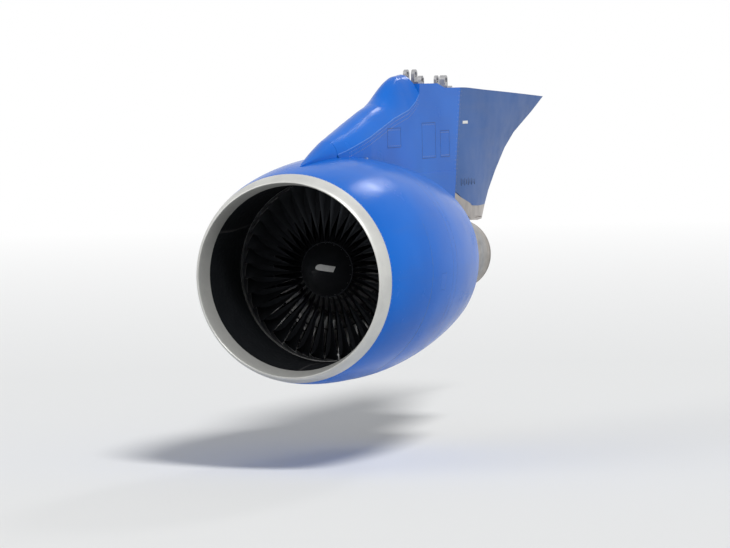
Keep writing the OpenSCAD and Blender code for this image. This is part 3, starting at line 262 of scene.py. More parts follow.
class NodeSheet:
    """A material's nodes, with short calls for the patterns that the finishes share."""

    def __init__(self, name: str) -> None:
        """Starts a material.

        Args:
            name: The material's name.
        """
        self.material = bpy.data.materials.new(name)
        self.material.use_nodes = True
        self.tree = self.material.node_tree
        self.shader = self.tree.nodes["Principled BSDF"]
        self.object = self.tree.nodes.new("ShaderNodeTexCoord").outputs["Object"]

    def new(self, kind: str, **values: object) -> bpy.types.Node:
        """Adds a node.

        Args:
            kind: The node's type, without its Shader prefix.
            **values: Its properties.

        Returns:
            The node.
        """
        node = self.tree.nodes.new("ShaderNode" + kind)
        for key, value in values.items():
            setattr(node, key, value)
        return node

    def join(self, value: object, socket: bpy.types.NodeSocket) -> None:
        """Feeds a socket from another socket or from a plain value.

        Args:
            value: The socket or value that feeds it.
            socket: The socket that is fed.
        """
        if isinstance(value, bpy.types.NodeSocket):
            self.tree.links.new(value, socket)
        else:
            socket.default_value = value

    def math(self, operation: str, *values: object) -> bpy.types.NodeSocket:
        """Adds a Math node.

        Args:
            operation: What it does.
            *values: Its inputs, as sockets or numbers.

        Returns:
            Its output.
        """
        node = self.new("Math", operation=operation)
        for value, socket in zip(values, node.inputs):
            self.join(value, socket)
        return node.outputs[0]

    def centred(self, scale: Point = (1, 1, 1)) -> bpy.types.NodeSocket:
        """Object coordinates from the engine axis, stretched.

        Args:
            scale: How far each axis is stretched.

        Returns:
            The vector.
        """
        node = self.new("Mapping", vector_type="POINT")
        self.join(self.object, node.inputs["Vector"])
        node.inputs["Location"].default_value = [-h * s for h, s in zip(HUNG, scale)]
        node.inputs["Scale"].default_value = scale
        return node.outputs["Vector"]

    def polar(self) -> tuple[bpy.types.NodeSocket, ...]:
        """Splits a place into cylindrical coordinates.

        Returns:
            Angle from the top, distance from the axis, and station.
        """
        split = self.new("SeparateXYZ")
        self.join(self.centred(), split.inputs[0])
        x, y, z = split.outputs
        angle = self.math("ARCTAN2", x, z)
        radius = self.math("SQRT", self.math("ADD", self.math("MULTIPLY", x, x), self.math("MULTIPLY", z, z)))
        return angle, radius, y

    def inward(self) -> bpy.types.NodeSocket:
        """Tells the outer skin from all other faces.

        Returns:
            0 on faces that look away from the axis, and 1 elsewhere.
        """
        place, face = self.new("SeparateXYZ"), self.new("SeparateXYZ")
        self.join(self.centred(), place.inputs[0])
        self.join(self.new("TexCoord").outputs["Normal"], face.inputs[0])
        dots = [self.math("MULTIPLY", face.outputs[i], place.outputs[i]) for i in (0, 2)]
        return self.span(self.math("DIVIDE", self.math("ADD", *dots), self.polar()[1]), 0.20, 0.30, 1, 0)

    def noise(self, scale: float, detail: float = 3, stretch: Point | None = None, rough: float = 0.55,
              vector: bpy.types.NodeSocket | None = None) -> bpy.types.NodeSocket:
        """Noise on object coordinates or on another vector.

        Args:
            scale: Its scale, in waves a metre.
            detail: Its detail.
            stretch: How far each axis is stretched.
            rough: Its roughness.
            vector: The other vector.

        Returns:
            A value from 0 to 1.
        """
        node = self.new("TexNoise")
        self.join(vector or (self.centred(stretch) if stretch else self.object), node.inputs["Vector"])
        node.inputs["Scale"].default_value = scale
        node.inputs["Detail"].default_value = detail
        node.inputs["Roughness"].default_value = rough
        return node.outputs[0]

    def span(self, value: bpy.types.NodeSocket, low: float, high: float, to_low: float,
             to_high: float) -> bpy.types.NodeSocket:
        """Maps a value from one range to another, with the ends held.

        Args:
            value: The value.
            low: Start of its range.
            high: End of its range.
            to_low: What the start becomes.
            to_high: What the end becomes.

        Returns:
            The mapped value.
        """
        node = self.new("MapRange")
        for number, socket in zip((low, high, to_low, to_high), node.inputs[1:5]):
            socket.default_value = number
        self.join(value, node.inputs[0])
        return node.outputs[0]

    def mix(self, factor: object, a: object, b: object) -> bpy.types.NodeSocket:
        """Mixes two colours.

        Args:
            factor: The share of the second.
            a: The first colour, as a socket or three numbers.
            b: The second.

        Returns:
            The colour.
        """
        node = self.new("Mix", data_type="RGBA")
        self.join(factor, node.inputs["Factor"])
        for value, socket in ((a, node.inputs[6]), (b, node.inputs[7])):
            self.join(value if isinstance(value, bpy.types.NodeSocket) else (*value, 1), socket)
        return node.outputs[2]

    def bump(self, height: bpy.types.NodeSocket, distance: float, strength: float = 1.0) -> None:
        """Feeds the shader's normal from a height.

        Args:
            height: The height, from 0 to 1.
            distance: How far 1 stands up, in metres.
            strength: How much of the bump shows.
        """
        node = self.new("Bump")
        node.inputs["Distance"].default_value = distance
        node.inputs["Strength"].default_value = strength
        self.join(height, node.inputs["Height"])
        self.join(node.outputs[0], self.shader.inputs["Normal"])

    def set(self, **values: object) -> None:
        """Feeds the shader's inputs, by their names with _ for a space.

        Args:
            **values: Sockets, numbers or colours of three numbers.
        """
        for key, value in values.items():
            socket = self.shader.inputs[key.replace("_", " ")]
            self.join((*value, 1) if isinstance(value, tuple) else value, socket)


@dataclass(frozen=True)
class GlossPaint:
    """Enamel over metal: two tones that drift, dust, faint streaks that run aft, orange peel."""

    name: str
    base: Point
    deep: Point
    dust: Point = (0.10, 0.13, 0.20)
    grime: float = 0.10
    roughness: float = 0.20
    coat: float = 0.04

    def colour(self, s: NodeSheet) -> bpy.types.NodeSocket:
        """Colour of the enamel with its dust.

        Args:
            s: The material's nodes.

        Returns:
            The colour.
        """
        tone = s.mix(s.span(s.noise(0.9, 2), 0.35, 0.65, 0, 1), self.base, self.deep)
        streak = s.span(s.noise(1, 4, (7, 0.6, 7)), 0.50, 0.80, 0, self.grime)
        speck = s.span(s.noise(210, 1), 0.72, 0.80, 0, 0.10)
        return s.mix(s.math("MAXIMUM", streak, speck), tone, self.dust)

    def sheen(self, s: NodeSheet) -> bpy.types.NodeSocket:
        """Roughness of the enamel.

        Args:
            s: The material's nodes.

        Returns:
            The roughness.
        """
        return s.span(s.noise(3.0, 5), 0.3, 0.7, self.roughness - 0.04, self.roughness + 0.08)

    def material(self) -> bpy.types.Material:
        """Builds the material.

        Returns:
            The material.
        """
        s = NodeSheet(self.name)
        s.set(Base_Color=self.colour(s), Roughness=self.sheen(s), Specular_IOR_Level=0.05,
              Coat_Weight=self.coat, Coat_Roughness=0.10)
        s.bump(s.noise(95, 2), 0.0006, 0.05)
        return s.material


@dataclass(frozen=True)
class LinedPaint(GlossPaint):
    """Enamel outside, a plain lining on the faces towards the axis, and metal near the core."""

    lining: Point = (0.27, 0.33, 0.20)
    core: Point = (0.42, 0.41, 0.39)
    core_radius: float = 0.0

    def material(self) -> bpy.types.Material:
        """Builds the material.

        Returns:
            The material.
        """
        s = NodeSheet(self.name)
        cloud = s.span(s.noise(5, 5), 0.35, 0.70, 0, 0.5)
        inside = s.mix(cloud, self.lining, tuple(0.6 * c for c in self.lining))
        near = s.span(s.polar()[1], self.core_radius, self.core_radius + 0.001, 1, 0)
        metal = s.mix(cloud, self.core, tuple(0.6 * c for c in self.core))
        inward = s.inward()
        painted = s.mix(inward, self.colour(s), inside)
        rough = s.math("ADD", self.sheen(s), s.math("MULTIPLY", s.math("MAXIMUM", inward, near), 0.22))
        s.set(Base_Color=s.mix(near, painted, metal), Roughness=rough, Specular_IOR_Level=0.05,
              Metallic=s.math("MULTIPLY", near, 0.9))
        s.bump(s.noise(95, 2), 0.0006, 0.05)
        return s.material


@dataclass(frozen=True)
class BrushedMetal:
    """Bare metal with brushing round the engine axis, dull patches and fine scratches."""

    name: str
    base: Point
    dull: Point
    roughness: float = 0.30
    metallic: float = 1.0
    brushed: float = 0.5

    def material(self) -> bpy.types.Material:
        """Builds the material.

        Returns:
            The material.
        """
        s = NodeSheet(self.name)
        lines = s.new("CombineXYZ")
        angle, radius, y = s.polar()
        for value, gain, socket in ((angle, 0.6, lines.inputs[0]), (radius, 260, lines.inputs[1]),
                                    (y, 260, lines.inputs[2])):
            s.join(s.math("MULTIPLY", value, gain), socket)
        grain = s.noise(1.0, 2, rough=0.5, vector=lines.outputs[0])
        patch = s.span(s.noise(2.4, 6, rough=0.65), 0.36, 0.70, 0, 1)
        tint = s.mix(patch, self.base, self.dull)
        scratch = s.span(grain, 0.3, 0.7, -0.05 * self.brushed, 0.07 * self.brushed)
        s.set(Base_Color=s.mix(s.span(grain, 0.3, 0.7, 0, 0.16 * self.brushed), tint, self.dull),
              Metallic=self.metallic,
              Roughness=s.math("ADD", scratch, s.span(patch, 0, 1, self.roughness, self.roughness + 0.10)))
        s.bump(grain, 0.0002, 0.25 * self.brushed)
        return s.material


@dataclass(frozen=True)
class HotMetal:
    """Heat-stained alloy: straw and blue-grey tints that follow the station, and soot."""

    name: str
    base: Point
    straw: Point
    blue: Point
    soot: Point = (0.035, 0.032, 0.030)
    roughness: float = 0.38
    soot_share: float = 0.30

    def material(self) -> bpy.types.Material:
        """Builds the material.

        Returns:
            The material.
        """
        s = NodeSheet(self.name)
        _, _, y = s.polar()
        wander = s.math("ADD", y, s.span(s.noise(3.0, 4), 0, 1, -0.22, 0.22))
        bands = s.math("SINE", s.math("MULTIPLY", wander, 7.5))
        tint = s.mix(s.span(bands, -0.2, 1.0, 0, 0.65), self.base, self.straw)
        tint = s.mix(s.span(bands, -1.0, -0.55, 0.45, 0), tint, self.blue)
        streak = s.span(s.noise(1, 5, (16, 1.4, 16)), 0.45, 0.75, 0, self.soot_share)
        s.set(Base_Color=s.mix(streak, tint, self.soot), Metallic=0.85,
              Roughness=s.span(s.noise(14, 4), 0.3, 0.7, self.roughness - 0.06, self.roughness + 0.12))
        s.bump(s.noise(160, 3), 0.0004, 0.3)
        return s.material


@dataclass(frozen=True)
class PerforatedLiner:
    """Sound-absorbing face sheet with staggered holes and lighter dust patches, near black as painted shade
    of the deep inlet, with the holes darker still as painted shade.
    """

    name: str
    # Near black as painted shade of the deep inlet, where the real sheet is lighter grey. The holes' darker
    # colour is painted shade in the recesses.
    face: Point = (0.0040, 0.0048, 0.0060)
    hole: Point = (0.002, 0.002, 0.002)
    pitch: float = 0.006

    def material(self) -> bpy.types.Material:
        """Builds the material.

        Returns:
            The material.
        """
        s = NodeSheet(self.name)
        angle, _, y = s.polar()
        rows = s.math("DIVIDE", y, self.pitch)
        cells = s.math("MULTIPLY", angle, 1.0 / self.pitch)
        holes = s.math("MULTIPLY", s.math("SINE", s.math("MULTIPLY", rows, math.pi)),
                       s.math("SINE", s.math("MULTIPLY", cells, math.pi)))
        dots = s.span(holes, 0.55, 0.75, 0, 1)
        worn = s.mix(s.span(s.noise(5, 5), 0.35, 0.75, 0, 0.6), self.face, (0.0075, 0.0085, 0.0100))
        s.set(Base_Color=s.mix(dots, worn, self.hole), Specular_IOR_Level=0.10,
              Roughness=s.span(s.noise(20, 3), 0.3, 0.7, 0.55, 0.75))
        s.bump(s.math("SUBTRACT", 1.0, dots), 0.0008, 0.4)
        return s.material


@dataclass(frozen=True)
class MattPaint:
    """Primer or dull enamel with an uneven coat, chips and handling marks."""

    name: str
    base: Point
    mark: Point
    roughness: float = 0.55
    specular: float = 0.4
    grain: float = 60.0

    def material(self) -> bpy.types.Material:
        """Builds the material.

        Returns:
            The material.
        """
        s = NodeSheet(self.name)
        cloud = s.span(s.noise(4, 5, rough=0.6), 0.35, 0.72, 0, 0.55)
        chip = s.span(s.noise(38, 4), 0.68, 0.74, 0, 0.5)
        s.set(Base_Color=s.mix(s.math("MAXIMUM", cloud, chip), self.base, self.mark),
              Specular_IOR_Level=self.specular,
              Roughness=s.span(s.noise(9, 4), 0.3, 0.7, self.roughness - 0.08, self.roughness + 0.10))
        s.bump(s.noise(self.grain, 4), 0.0006, 0.25)
        return s.material


@dataclass(frozen=True)
class WovenComposite:
    """Carbon cloth under resin, seen as a two-way weave."""

    name: str
    warp: Point = (0.030, 0.032, 0.035)
    weft: Point = (0.012, 0.013, 0.014)
    pitch: float = 0.010

    def material(self) -> bpy.types.Material:
        """Builds the material.

        Returns:
            The material.
        """
        s = NodeSheet(self.name)
        angle, _, y = s.polar()
        a = s.math("SINE", s.math("MULTIPLY", y, 2 * math.pi / self.pitch))
        b = s.math("SINE", s.math("MULTIPLY", angle, 2 * math.pi / self.pitch))
        weave = s.span(s.math("MULTIPLY", a, b), -0.3, 0.3, 0, 1)
        s.set(Base_Color=s.mix(weave, self.warp, self.weft), Coat_Weight=0.3, Coat_Roughness=0.2,
              Roughness=s.span(s.noise(12, 4), 0.3, 0.7, 0.34, 0.5))
        s.bump(weave, 0.0003, 0.5)
        return s.material


@dataclass(frozen=True)
class SpinnerPaint:
    """Satin black enamel, peppered by grit towards the tip."""

    name: str

    def material(self) -> bpy.types.Material:
        """Builds the material.

        Returns:
            The material.
        """
        s = NodeSheet(self.name)
        _, radius, _ = s.polar()
        grit = s.span(s.noise(150, 2), 0.62, 0.68, 0, 1)
        pepper = s.math("MULTIPLY", grit, s.span(radius, 0.02, 0.26, 0.7, 0.1))
        s.set(Base_Color=s.mix(pepper, (0.010, 0.011, 0.013), (0.10, 0.10, 0.11)),
              Roughness=s.span(s.noise(7, 4), 0.3, 0.7, 0.34, 0.50), Specular_IOR_Level=0.35)
        s.bump(s.noise(120, 3), 0.0004, 0.2)
        return s.material


class Finishes:
    """The object's materials, each built once."""

    def __init__(self) -> None:
        """Builds the materials by the names that the pieces ask for."""
        blue, deep = (0.009, 0.145, 0.600), (0.007, 0.122, 0.530)
        self.blue = GlossPaint("blue_enamel", blue, deep).material()
        self.cowl = LinedPaint("cowl_enamel", blue, deep).material()
        self.duct = LinedPaint("reverser_enamel", blue, deep, lining=(0.20, 0.21, 0.22),
                               core_radius=0.76).material()
        # The aft fairing wears the same blue paint. Its greyer, paler blue is a painted reflection of the
        # surroundings; its dust and grime are real.
        self.painted_reflection_blue = GlossPaint("blue_enamel_painted_reflection", (0.040, 0.120, 0.350), (0.034, 0.105, 0.310),
                                    (0.15, 0.17, 0.22), grime=0.14, roughness=0.32, coat=0.0).material()
        # The lighter blue of the shoulder bead is a painted highlight along the crown's crease.
        self.line = GlossPaint("shoulder_painted_highlight", (0.10, 0.27, 0.72), (0.08, 0.24, 0.66)).material()
        self.aluminium, self.case_metal, self.shield, self.steel, self.painted_shade_blades = (
            BrushedMetal(*row).material() for row in (
                ("lip_aluminium", (0.62, 0.62, 0.59), (0.50, 0.50, 0.48), 0.36, 0.60),
                ("case_aluminium", (0.55, 0.55, 0.54), (0.40, 0.40, 0.40), 0.40),
                ("heat_shield_sheet", (0.46, 0.42, 0.39), (0.27, 0.25, 0.24), 0.36),
                ("machined_steel", (0.46, 0.46, 0.47), (0.30, 0.30, 0.31), 0.32),
                # The blades' near-black is painted shade from deep in the inlet, where bare titanium is far
                # lighter. The platforms share it.
                ("blade_metal_painted_shade", (0.035, 0.038, 0.044), (0.022, 0.024, 0.028), 0.34, 0.9)))
        self.nozzle, self.hot = (HotMetal(*row).material() for row in (
            ("nozzle_alloy", (0.26, 0.25, 0.24), (0.24, 0.20, 0.16), (0.18, 0.20, 0.24)),
            ("hot_case_alloy", (0.30, 0.28, 0.25), (0.30, 0.21, 0.12), (0.16, 0.19, 0.27))))
        self.liner = PerforatedLiner("inlet_face_sheet_painted_shade").material()
        self.spinner = SpinnerPaint("spinner_enamel").material()
        self.primer, self.white, self.grey, self.rubber = (MattPaint(*row).material() for row in (
            ("green_primer", (0.26, 0.33, 0.17), (0.18, 0.22, 0.13)),
            ("white_marking", (0.80, 0.80, 0.78), (0.55, 0.55, 0.53), 0.4),
            ("grey_enamel", (0.16, 0.17, 0.18), (0.10, 0.11, 0.12), 0.45),
            ("black_seal", (0.012, 0.012, 0.013), (0.030, 0.030, 0.030), 0.65, 0.3)))
        self.composite = WovenComposite("carbon_cloth").material()

    def of_slot(self) -> dict[Slot, bpy.types.Material]:
        """The material of each slot of the record."""
        return {Slot.BLUE: self.blue, Slot.PALE_BLUE: self.painted_reflection_blue, Slot.ALUMINIUM: self.case_metal,
                Slot.SHIELD: self.shield, Slot.LINER: self.liner, Slot.SPINNER: self.spinner,
                Slot.STEEL: self.steel, Slot.TITANIUM: self.painted_shade_blades, Slot.HOT: self.hot,
                Slot.PRIMER: self.primer, Slot.COMPOSITE: self.composite}


# Making of pieces


@dataclass
class Maker:
    """Builds meshes about the engine axis and hangs them on the frame."""

    finishes: Finishes
    nacelle: Nacelle

    def piece(self, bm: bmesh.types.BMesh, name: str, material: bpy.types.Material, slot: Slot,
              body: Body = Body.FIXED, smooth: float = 35.0, node: str | None = None) -> None:
        """Turns a mesh about the engine axis into a piece that rides on a body.

        Args:
            bm: The mesh, which is freed.
            name: The piece's name.
            material: Its finish.
            slot: The record's slot that it stands for; not used.
            body: The body that it rides on.
            smooth: Edges sharper than this many degrees stay sharp.
            node: The node of the frame that it takes the place of.
        """
        bmesh.ops.translate(bm, verts=bm.verts, vec=HUNG)
        for face in bm.faces:
            face.smooth = True
        for edge in bm.edges:
            edge.smooth = len(edge.link_faces) != 2 or edge.calc_face_angle(0.0) < math.radians(smooth)
        mesh = bpy.data.meshes.new(name)
        bm.to_mesh(mesh)
        bm.free()
        mesh.materials.append(material)
        obj = bpy.data.objects.new(name, mesh)
        bpy.context.scene.collection.objects.link(obj)
        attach(obj, body.value)
        if node:
            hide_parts(node)
        LOG.info("%s: %d faces on %s", name, len(mesh.polygons), body.value)

    def spun(self, bm: bmesh.types.BMesh, profile: Profile, count: int, closed: bool = True) -> None:
        """Adds a ring turned from a profile round the engine axis.

        Args:
            bm: The mesh that it is added to.
            profile: Pairs of radius and station.
            count: The number of steps round.
            closed: Whether the profile's ends join.
        """
        if closed:
            verts = bmesh.ops.create_circle(bm, segments=len(profile), radius=1.0)["verts"]
            for vert, (r, y) in zip(verts, profile):
                vert.co = (0, y, r)
            edges = list({e for v in verts for e in v.link_edges})
        else:
            verts = [bm.verts.new((0, y, r)) for r, y in profile]
            edges = [bm.edges.new(pair) for pair in zip(verts, verts[1:])]
        bmesh.ops.spin(bm, geom=verts + edges, cent=(0, 0, 0), axis=(0, 1, 0), angle=2 * math.pi,
                       steps=count, use_merge=True)

    def sheet(self, bm: bmesh.types.BMesh, columns: int, rows: int, place: Callable[[float, float], Point],
              wrap: bool = False) -> None:
        """Adds a grid shaped by a function of its two shares, from 0 to 1.

        Args:
            bm: The mesh that it is added to.
            columns: Steps of the first share.
            rows: Steps of the second.
            place: Gives the point at two shares.
            wrap: Whether the first share runs round to its start, with the two ends then capped.
        """
        verts = bmesh.ops.create_grid(bm, x_segments=columns, y_segments=rows, size=0.5)["verts"]
        for vert in verts:
            vert.co = place(min(1.0, max(0.0, vert.co.x + 0.5)), min(1.0, max(0.0, vert.co.y + 0.5)))
        if wrap:
            bmesh.ops.remove_doubles(bm, verts=verts, dist=1e-6)
            rims = [e for e in bm.edges if e.is_boundary]
            bmesh.ops.holes_fill(bm, edges=rims, sides=0)
            bmesh.ops.recalc_face_normals(bm, faces=bm.faces)

    def tube(self, bm: bmesh.types.BMesh, points: list[Point], radius: float, sides: int = 12) -> None:
        """Adds a round tube along a smooth curve through points given as angle, radius and station.

        Args:
            bm: The mesh that it is added to.
            points: Angle from the top towards outboard in degrees, radius and station of each point.
            radius: The tube's radius.
            sides: Steps round it.
        """
        keys = [self.at(*p) for p in points]
        keys = [keys[0] * 2 - keys[1], *keys, keys[-1] * 2 - keys[-2]]
        path = []
        for p0, p1, p2, p3 in zip(keys, keys[1:], keys[2:], keys[3:]):
            for t in (0, 0.2, 0.4, 0.6, 0.8):
                path.append(0.5 * (2 * p1 + (p2 - p0) * t + (2 * p0 - 5 * p1 + 4 * p2 - p3) * t * t
                                   + (3 * p1 - p0 - 3 * p2 + p3) * t ** 3))
        path.append(keys[-2])
        n = len(path) - 1
        frames, side = [], None
        for i in range(n + 1):
            ahead = (path[min(i + 1, n)] - path[max(i - 1, 0)]).normalized()
            side = side or ahead.orthogonal()
            side = (side - ahead * side.dot(ahead)).normalized()
            frames.append((path[i], side, ahead.cross(side)))

        def place(u: float, v: float) -> Point:
            """Point at a share of the way round and along."""
            centre, a, b = frames[round(v * n)]
            return tuple(centre + radius * (math.cos(math.tau * u) * a + math.sin(math.tau * u) * b))

        self.sheet(bm, sides, n, place, wrap=True)

    def at(self, angle: float, radius: float, y: float) -> Vector:
        """Point at an angle from the top towards outboard, a radius and a station."""
        a = math.radians(angle)
        return Vector((radius * math.sin(a), y, radius * math.cos(a)))

    def seat(self, angle: float, radius: float, y: float) -> Matrix:
        """Matrix that stands +Z along the radius at a point, with +Y still along the axis."""
        return Matrix.Translation(self.at(angle, radius, y)) @ turned(angle, "Y")

    def block(self, bm: bmesh.types.BMesh, size: Point, place: Matrix, edge: float = 0.004) -> None:
        """Adds a box with softened edges, standing on its place.

        Args:
            bm: The mesh that it is added to.
            size: Its width, length and height.
            place: Matrix of the middle of its foot.
            edge: Radius of its edges.
        """
        made = bmesh.ops.create_cube(bm, size=1.0, matrix=place @ Matrix.Translation((0, 0, size[2] / 2))
                                     @ Matrix.Diagonal((*size, 1)))
        edges = list({e for v in made["verts"] for e in v.link_edges})
        bmesh.ops.bevel(bm, geom=edges, offset=edge, offset_type="OFFSET", segments=2, profile=0.5,
                        affect="EDGES", clamp_overlap=True, material=-1)

    def disc(self, bm: bmesh.types.BMesh, place: Matrix, radius: float, height: float, sides: int = 24,
             top: float = 1.0) -> None:
        """Adds a cylinder or cone that stands on its place.

        Args:
            bm: The mesh that it is added to.
            place: Matrix of the middle of its foot.
            radius: Radius of its foot.
            height: Its height.
            sides: Steps round it.
            top: Share of the radius at its top.
        """
        bmesh.ops.create_cone(bm, cap_ends=True, segments=sides, radius1=radius, radius2=radius * top,
                              depth=height, matrix=place @ Matrix.Translation((0, 0, height / 2)))

    def bolts(self, bm: bmesh.types.BMesh, radius: float, y: float, count: int, aft: bool = True,
              size: float = 0.008) -> None:
        """Adds a ring of hexagonal heads on a flange's face.

        Args:
            bm: The mesh that they are added to.
            radius: Radius of their circle.
            y: Station of the face.
            count: How many there are.
            aft: Whether they stand on the aft face.
            size: Radius of a head.
        """
        turn = turned(-90 if aft else 90, "X")
        for i in range(count):
            self.disc(bm, Matrix.Translation(self.at(360 * (i + 0.5) / count, radius, y)) @ turn,
                      size, 0.6 * size, 6, 0.9)


# Strut


@dataclass
class Strut(Maker):
    """Fairings of the strut as smooth skins over the frame's solids."""

    upper_x: float = 0.226
    edge_half: float = 0.008
    nose_y: float = 0.440
    nose_round: float = 0.160
    nose_flare: float = 0.022
    nose_gap: float = 0.004
    full_y: float = 2.000
    crown_start: float = 1.150
    crown_y: float = 3.530
    crown_z: float = 2.130
    seam_y: float = 4.950
    seam_lean: float = 0.22
    low_z: float = 0.575
    tail_low_z: float = 0.335
    tail_half: float = 0.005
    tail_y: float = 8.740
    tail_drop: float = 0.310
    tail_power: float = 1.7
    around: int = 64
    over: int = 48
    doors: tuple[tuple[float, ...], ...] = ((2.480, 2.900, 1.300, 1.520), (3.600, 4.050, 1.150, 1.560),
                                            (4.220, 4.520, 1.150, 1.460))
    vent_y: float = 4.930
    vent_pitch: float = 0.075
    vent_z: float = 0.830

    def crest(self) -> Profile:
        """Crest of the strut, from its nose to the wing."""
        return [(self.nose_y + 0.350, 1.290), (1.120, 1.410), (1.540, 1.520), (1.930, 1.630), (2.320, 1.740),
                (2.600, 1.805), (2.760, 1.870), (2.880, 1.940), (3.000, 2.010), (3.120, 2.065),
                (3.260, self.crown_z - 0.025), (self.crown_y, self.crown_z)]

    def shoulder(self) -> Profile:
        """Lower edge of the crown, where its curve meets the flat side."""
        return [(self.crown_start, 1.262), (1.330, 1.295), (1.950, 1.440), (2.690, 1.630), (3.180, 1.720),
                (3.400, 1.810), (self.crown_y, 1.900)]

    def half_width(self, y: float) -> float:
        """Half width of the strut above the nacelle.

        Args:
            y: The station.

        Returns:
            The half width.
        """
        t = min(1.0, (y - self.nose_y) / (self.full_y - self.nose_y))
        return self.edge_half + (self.upper_x - self.edge_half) * (1 - (1 - t) ** 1.6)

    def build(self) -> None:
        """Builds the fairings and what is fastened to them."""
        self.crown()
        self.nose()
        self.tail()
        self.seams()
        self.panels()
        self.slots()

    def crease(self, y: float) -> float:
        """Power of the crown's section: 1 is round at the shoulder, 2 is creased."""
        return 1.0 + min(1.0, max(0.0, (y - 0.900) / 1.200))

    def section(self, u: float, w: float, y: float, low: float, high: float) -> Point:
        """Point of the crown's curve, from one shoulder over the crest to the other."""
        a = math.pi * u
        return (w * math.cos(a), y, low + (high - low) * math.sin(a) ** self.crease(y))

    def crown(self) -> None:
        """Crown fairing: a rounded back over the flat-sided box."""
        bm = bmesh.new()
        ys = steps(self.crown_start, self.crown_y, 60)

        def place(u: float, v: float) -> Point:
            """Point over the crest and back under it, at a share of the length."""
            y, k = ys[round(v * 60)], round(u * self.around)
            w, low, high = self.half_width(y), along(self.shoulder(), y), along(self.crest(), y)
            if k > self.over:
                return (w * (2 * (k - self.over) / (self.around - self.over) - 1), y, low)
            return self.section(k / self.over, w, y, low, high)

        self.sheet(bm, self.around, 60, place, wrap=True)
        self.piece(bm, "crown_skin", self.finishes.blue, Slot.BLUE, smooth=12, node="strut_crown_fairing")

    def nose(self) -> None:
        """Nose fairing: grows out of the drooped inlet's skin."""
        bm = bmesh.new()
        start, end = self.nose_y + 0.0025, self.crown_start - 0.003
        ys = [start + (end - start) * (i / 40) ** 1.6 for i in range(41)]

        def place(u: float, v: float) -> Point:
            """Point over the crest and back along the inlet, at a share of the length."""
            y, k = ys[round(v * 40)], round(u * self.around)
            t = min(1.0, (y - self.nose_y) / self.nose_round)
            rise = math.sqrt(max(0.0, 1 - (1 - t) ** 2))
            w, skin = self.half_width(y), self.nacelle.inlet_top(0, y) + self.nose_gap
            side = self.nacelle.inlet_top(w, y) + 0.001 + self.nose_flare * rise
            high = skin + (along(self.crest(), y) - skin) * rise
            if self.over < k < self.around:
                x = w * (2 * (k - self.over - 1) / (self.around - self.over - 2) - 1)
                return (x, y, self.nacelle.inlet_top(x, y) + 0.0005)
            return self.section(k / self.over if k <= self.over else 0.0, w, y, side, high)

        self.sheet(bm, self.around, 40, place, wrap=True)
        self.piece(bm, "nose_skin", self.finishes.blue, Slot.BLUE, node="strut_nose_fairing")

    def seams(self) -> None:
        """A bead along the shoulder of the crown, whose pale blue is a painted highlight of the crease, and
        rows of flush fasteners beside it.
        """
        bead, heads = bmesh.new(), bmesh.new()
        ys = steps(self.crown_start + 0.010, self.crown_y - 0.004, 79)
        for side in (-1, 1):
            def place(u: float, v: float) -> Point:
                """Point round the bead, at a share of its length."""
                y = ys[round(v * 79)]
                a = math.tau * u
                return (side * (self.half_width(y) + 0.0022 * math.cos(a)), y,
                        along(self.shoulder(), y) - 0.002 + 0.006 * math.sin(a))

            self.sheet(bead, 8, 79, place, wrap=True)
            out = turned(90 * side, "Y")
            for drop in (0.040, 0.085):
                for y in steps(1.420, 3.480, 52):
                    where = Vector((side * self.half_width(y), y, along(self.shoulder(), y) - drop))
                    self.disc(heads, Matrix.Translation(where) @ out, 0.0045, 0.0012, 10)
            for lean in (-0.035, 0.035):
                for z in steps(self.low_z + 0.120, self.midspar_z() - 0.050, 24):
                    y = self.seam_y - self.seam_lean * (self.midspar_z() - z) + lean
                    self.disc(heads, Matrix.Translation(Vector((side * (self.upper_x - 0.0012), y, z))) @ out,
                              0.0045, 0.0024, 10)
        # The bead's pale colour is a painted highlight; the crown has no such strip.
        self.piece(bead, "shoulder_highlight_bead", self.finishes.line, Slot.BLUE)
        self.piece(heads, "strut_fasteners", self.finishes.steel, Slot.STEEL)

    def panels(self) -> None:
        """Access panels on the strut's sides, their fasteners and a plain white marking."""
        gaps, heads, mark = bmesh.new(), bmesh.new(), bmesh.new()
        x = self.upper_x
        for side in (-1, 1):
            out = turned(90 * side, "Y")
            for y0, y1, z0, z1 in self.doors:
                for ya, yb, za, zb in ((y0, y1, z0, z0), (y0, y1, z1, z1),
                                       (y0, y0, z0, z1), (y1, y1, z0, z1)):
                    length, height = yb - ya + 0.004, zb - za + 0.004
                    where = Matrix.Translation((side * (x - 0.0005), (ya + yb) / 2, (za + zb) / 2)) @ out
                    self.block(gaps, (height, length, 0.0013), where, 0.0004)
                for y in steps(y0 + 0.025, y1 - 0.025, 6):
                    for z in (z0 + 0.020, z1 - 0.020):
                        self.disc(heads, Matrix.Translation((side * x, y, z)) @ out, 0.005, 0.0012, 10)
        self.block(mark, (0.035, 0.180, 0.0016), Matrix.Translation((x - 0.001, 5.100, 1.545))
                   @ turned(90, "Y"), 0.0004)
        self.piece(gaps, "panel_gaps", self.finishes.rubber, Slot.BLUE)
        self.piece(heads, "panel_fasteners", self.finishes.steel, Slot.STEEL)
        self.piece(mark, "white_marking", self.finishes.white, Slot.PALE_BLUE)

